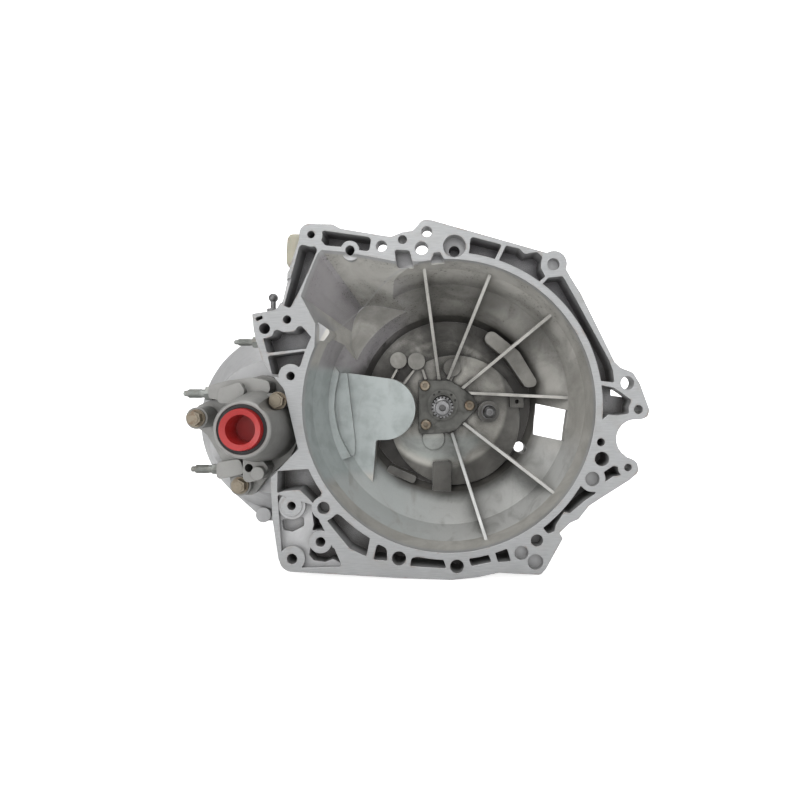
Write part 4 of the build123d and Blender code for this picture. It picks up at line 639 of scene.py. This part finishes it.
MATS = {
    "housing": cast("cast_aluminium_bell", base=(0.470, 0.472, 0.478),
                    dark=(0.055, 0.050, 0.045), dirt_and_shade=0.62, bell=True),
    "case": cast("cast_aluminium_case", base=(0.480, 0.487, 0.478),
                 dark=(0.070, 0.064, 0.056), dirt_and_shade=0.40, grain=1.25),
    "snout": cast("cast_aluminium_snout", base=(0.300, 0.298, 0.288),
                  dark=(0.050, 0.046, 0.041), dirt_and_shade=0.66, grain=1.10),
    "machined_aluminium": metal("machined_aluminium_plate", base=(0.150, 0.150, 0.140),
                                dark=(0.036, 0.034, 0.032), rough=0.46, oil=0.5, metallic=0.75),
    "steel": metal("ground_steel", base=(0.235, 0.235, 0.240),
                   dark=(0.070, 0.066, 0.060), rough=0.34, oil=0.30),
    "gear_steel": metal("gear_steel", base=(0.340, 0.340, 0.350),
                        dark=(0.075, 0.068, 0.058), rough=0.30, oil=0.50),
    "zinc_plated": metal("aged_zinc_plate", base=(0.300, 0.262, 0.205),
                         dark=(0.090, 0.070, 0.050), rough=0.42, oil=0.45, metallic=0.85,
                         rust=0.45),
    "stud_steel": metal("dull_zinc_stud", base=(0.330, 0.345, 0.330),
                        dark=(0.100, 0.095, 0.080), rough=0.42, oil=0.40, metallic=0.85,
                        rust=0.20, axis="X"),
    "bearing_steel": metal("bearing_steel", base=(0.620, 0.620, 0.630),
                           dark=(0.110, 0.105, 0.095), rough=0.16, oil=0.20),
    "brass": metal("brass_baulk", base=(0.600, 0.420, 0.160),
                   dark=(0.160, 0.105, 0.040), rough=0.28, oil=0.30),
    "rubber": plastic("nitrile_rubber", base=(0.018, 0.018, 0.019),
                      dark=(0.008, 0.008, 0.008), rough=0.50, dust=0.30),
    "red_plastic": plastic("red_polyethylene", base=(0.400, 0.016, 0.016),
                           dark=(0.085, 0.004, 0.006), rough=0.34, sss=0.06, dust=0.12,
                           coat=0.15),
    "cream_plastic": plastic("cream_nylon", base=(0.410, 0.392, 0.312),
                             dark=(0.160, 0.148, 0.112), rough=0.45, sss=0.05),
    "black_plastic": plastic("black_nylon", base=(0.022, 0.022, 0.023),
                             dark=(0.010, 0.010, 0.010), rough=0.46),
}
CASTING = {"clutch_housing": "housing", "gear_case": "case", "rear_cover": "case",
           "diff_extension_housing": "snout"}


def paint(obj, material):
    obj.data.materials.clear()
    obj.data.materials.append(material)


for node_name, node_obj in NODES.items():
    paint(node_obj, MATS[CASTING.get(node_name, SLOT_OF[node_name])])


def smooth_object(name, bm):
    """A smooth-shaded object from a bmesh, linked to the scene."""
    mesh = bpy.data.meshes.new(name)
    bm.to_mesh(mesh)
    bm.free()
    for polygon in mesh.polygons:
        polygon.use_smooth = True
    obj = bpy.data.objects.new(name, mesh)
    bpy.context.scene.collection.objects.link(obj)
    return obj


# ------------------------------------------------------------------ threads on the bracket studs
THREAD_PITCH = 0.00125
THREAD_SEGMENTS = 32
STEPS_PER_PITCH = 8
THREAD_SINK = 0.00004         # root of the thread below the stud's surface


def islands(mesh):
    """(lowest, highest corner) of each separate solid, welding vertices that share a place."""
    keys = [tuple(round(c * 1e5) for c in v.co) for v in mesh.vertices]
    first, parent = {}, list(range(len(keys)))

    def root(i):
        while parent[i] != i:
            parent[i] = parent[parent[i]]
            i = parent[i]
        return i

    for i, key in enumerate(keys):
        parent[i] = root(first.setdefault(key, i))
    for polygon in mesh.polygons:
        start, *others = polygon.vertices
        for other in others:
            parent[root(other)] = root(start)
    corners = {}
    for i, v in enumerate(mesh.vertices):
        lo, hi = corners.setdefault(root(i), (v.co.copy(), v.co.copy()))
        for a in range(3):
            lo[a], hi[a] = min(lo[a], v.co[a]), max(hi[a], v.co[a])
    return sorted(corners.values(), key=lambda box: (round(box[0].x, 4), round(box[0].z, 4)))


def thread(name, start, radius, length):
    """A helical thread along +X with closed ends; its crest fades out at both of them."""
    pitch, n = THREAD_PITCH, THREAD_SEGMENTS
    crest = 0.61 * pitch * 0.62       # thread depth, and the share of it that is raised
    steps = int(length / pitch * STEPS_PER_PITCH)
    end_radius = radius * 0.80
    # (radius, distance along the axis, whether the thread is raised there)
    profile = [(0.0, 0.0, False), (end_radius, 0.0, False)]
    profile += [(radius, pitch * 0.6 + (length - pitch * 1.2) * k / steps, True)
                for k in range(steps + 1)]
    profile += [(end_radius, length, False), (0.0, length, False)]

    def lift(along, angle):
        phase = (along / pitch - angle / (2 * math.pi)) % 1.0
        fade = min(1.0, along / (1.5 * pitch), (length - along) / (1.5 * pitch))
        return crest * (1 - abs(2 * phase - 1)) * fade

    axis = Vector((1, 0, 0))
    side = axis.orthogonal().normalized()
    other_side = axis.cross(side)
    angles = [2 * math.pi * i / n for i in range(n)]
    bm = bmesh.new()
    rings = []
    for r, along, raised in profile:
        centre = start + axis * along
        if r == 0.0:
            rings.append([bm.verts.new(centre)])
            continue
        rings.append([bm.verts.new(centre + (side * math.cos(t) + other_side * math.sin(t))
                                   * (r + (lift(along, t) if raised else 0.0)))
                      for t in angles])
    for a, b in zip(rings, rings[1:]):
        for i in range(n):
            corners = [a[i % len(a)], a[(i + 1) % len(a)], b[(i + 1) % len(b)], b[i % len(b)]]
            # an end point counts twice, so its quads become triangles
            bm.faces.new([v for j, v in enumerate(corners) if v not in corners[:j]])
    bmesh.ops.recalc_face_normals(bm, faces=bm.faces)
    obj = smooth_object(name, bm)
    obj.data.set_sharp_from_angle(angle=math.radians(65))
    paint(obj, MATS["stud_steel"])
    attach(obj, "case")


def stud_threads():
    """A thread near the -X end of each stud, as thick as the stud is there."""
    mesh = NODES["bracket_studs"].data
    margin = 1e-5
    for i, (lo, hi) in enumerate(islands(mesh)):
        middle = (lo + hi) / 2
        span = hi.x - lo.x
        stud_radius = max(
            math.hypot(v.co.y - middle.y, v.co.z - middle.z) for v in mesh.vertices
            if lo.x - margin <= v.co.x <= lo.x + 0.30 * span + margin * 0
            and lo.z - margin <= v.co.z <= hi.z + margin)
        thread("stud_thread_%d" % i, Vector((lo.x + 0.10 * span, middle.y, middle.z)),
               radius=stud_radius - THREAD_SINK, length=span * 0.36)


stud_threads()


# ------------------------------------------------------------------ stage, light and camera
def floor_sweep():
    """A pale floor that curves up into its own backdrop, open towards the camera."""
    floor_z = CAD_LO.z - 0.0006
    front_y, bend_y, bend_radius, top, half_width = -3.0, 1.6, 0.9, 4.5, 6.0
    bend_steps = 14
    angles = [math.pi / 2 * i / bend_steps for i in range(1, bend_steps + 1)]
    profile = [(front_y, 0.0), (bend_y, 0.0)]     # (y, height over the floor)
    profile += [(bend_y + bend_radius * math.sin(a), bend_radius - bend_radius * math.cos(a))
                for a in angles]
    profile += [(bend_y + bend_radius, top)]
    bm = bmesh.new()
    left, right = [[bm.verts.new((x, y, floor_z + z)) for y, z in profile]
                   for x in (-half_width, half_width)]
    for i in range(len(profile) - 1):
        bm.faces.new((left[i], right[i], right[i + 1], left[i + 1]))
    obj = smooth_object("floor", bm)
    paint(obj, pale_paper())


def pale_paper():
    """Matt paper that glows only for the camera, so it lights nothing."""
    m = Mat("pale_paper")
    cloud = m.noise(scale=3.0, detail=3).ramp(off=0.3, on=0.7)
    color = m.mix(cloud, under=(0.90, 0.90, 0.90), over=(0.925, 0.925, 0.925))
    glow_strength = 0.80
    seen = m.value("ShaderNodeLightPath", output="Is Camera Ray")
    return m.finish(color=color, rough=0.85, metallic=0.0, glow_color=(1, 1, 1),
                    glow=seen * glow_strength)


def studio_world():
    """White to the camera from every side, and a softer fill for the object."""
    world = bpy.data.worlds.new("studio")
    world.use_nodes = True
    nodes, links = world.node_tree.nodes, world.node_tree.links
    background = nodes["Background"]
    background.inputs[0].default_value = (1.0, 1.0, 1.0, 1.0)
    light_path = nodes.new("ShaderNodeLightPath")
    strength = nodes.new("ShaderNodeMapRange")
    strength.inputs["To Min"].default_value = 0.34
    strength.inputs["To Max"].default_value = 1.0
    links.new(light_path.outputs["Is Camera Ray"], strength.inputs["Value"])
    links.new(strength.outputs[0], background.inputs[1])
    bpy.context.scene.world = world


def area(name, place, target, size, power, color=(1, 1, 1)):
    """A rectangular light at a place, aimed at a target; power is in watts."""
    light = bpy.data.lights.new(name, "AREA")
    light.shape = "RECTANGLE"
    light.size, light.size_y = size
    light.energy = power
    light.color = color
    obj = bpy.data.objects.new(name, light)
    obj.location = place
    obj.rotation_mode = "QUATERNION"
    obj.rotation_quaternion = (Vector(target) - Vector(place)).to_track_quat("-Z", "Y")
    bpy.context.scene.collection.objects.link(obj)


def studio_lights():
    middle = (CAD_LO + CAD_HI) / 2
    area("key", place=(-0.45, -1.25, 1.35), target=middle, size=(1.2, 1.0), power=15.0,
         color=(1.0, 0.995, 0.985))
    area("fill", place=(1.10, -1.20, 0.25), target=middle, size=(1.1, 1.1), power=5.0,
         color=(0.985, 0.99, 1.0))
    area("front", place=(0.0, -1.50, 0.15), target=(0.0, 0.0, 0.0), size=(0.9, 0.9), power=4.0)
    area("left", place=(-1.15, -0.75, -0.05), target=middle, size=(0.9, 0.9), power=7.0)
    area("top", place=(0.0, 0.10, 1.60), target=middle, size=(1.6, 1.2), power=6.0)
    area("backdrop_light", place=(0.0, 0.9, 1.9), target=(0.0, 2.3, 0.2), size=(3.0, 0.8),
         power=22.0)


def front_camera():
    """A level camera looking along +Y into the bell."""
    camera = bpy.data.cameras.new("camera")
    camera.sensor_width = 36.0
    camera.lens = 24.75
    camera.shift_x, camera.shift_y = -0.055, -0.01375
    camera.clip_start, camera.clip_end = 0.01, 50.0
    obj = bpy.data.objects.new("camera", camera)
    obj.location = (0.0015, -0.550, 0.0187)
    obj.rotation_euler = (math.radians(90), 0, 0)
    scene = bpy.context.scene
    scene.collection.objects.link(obj)
    scene.camera = obj
    scene.view_settings.view_transform = "Standard"
    scene.view_settings.look = "None"


floor_sweep()
studio_world()
studio_lights()
front_camera()
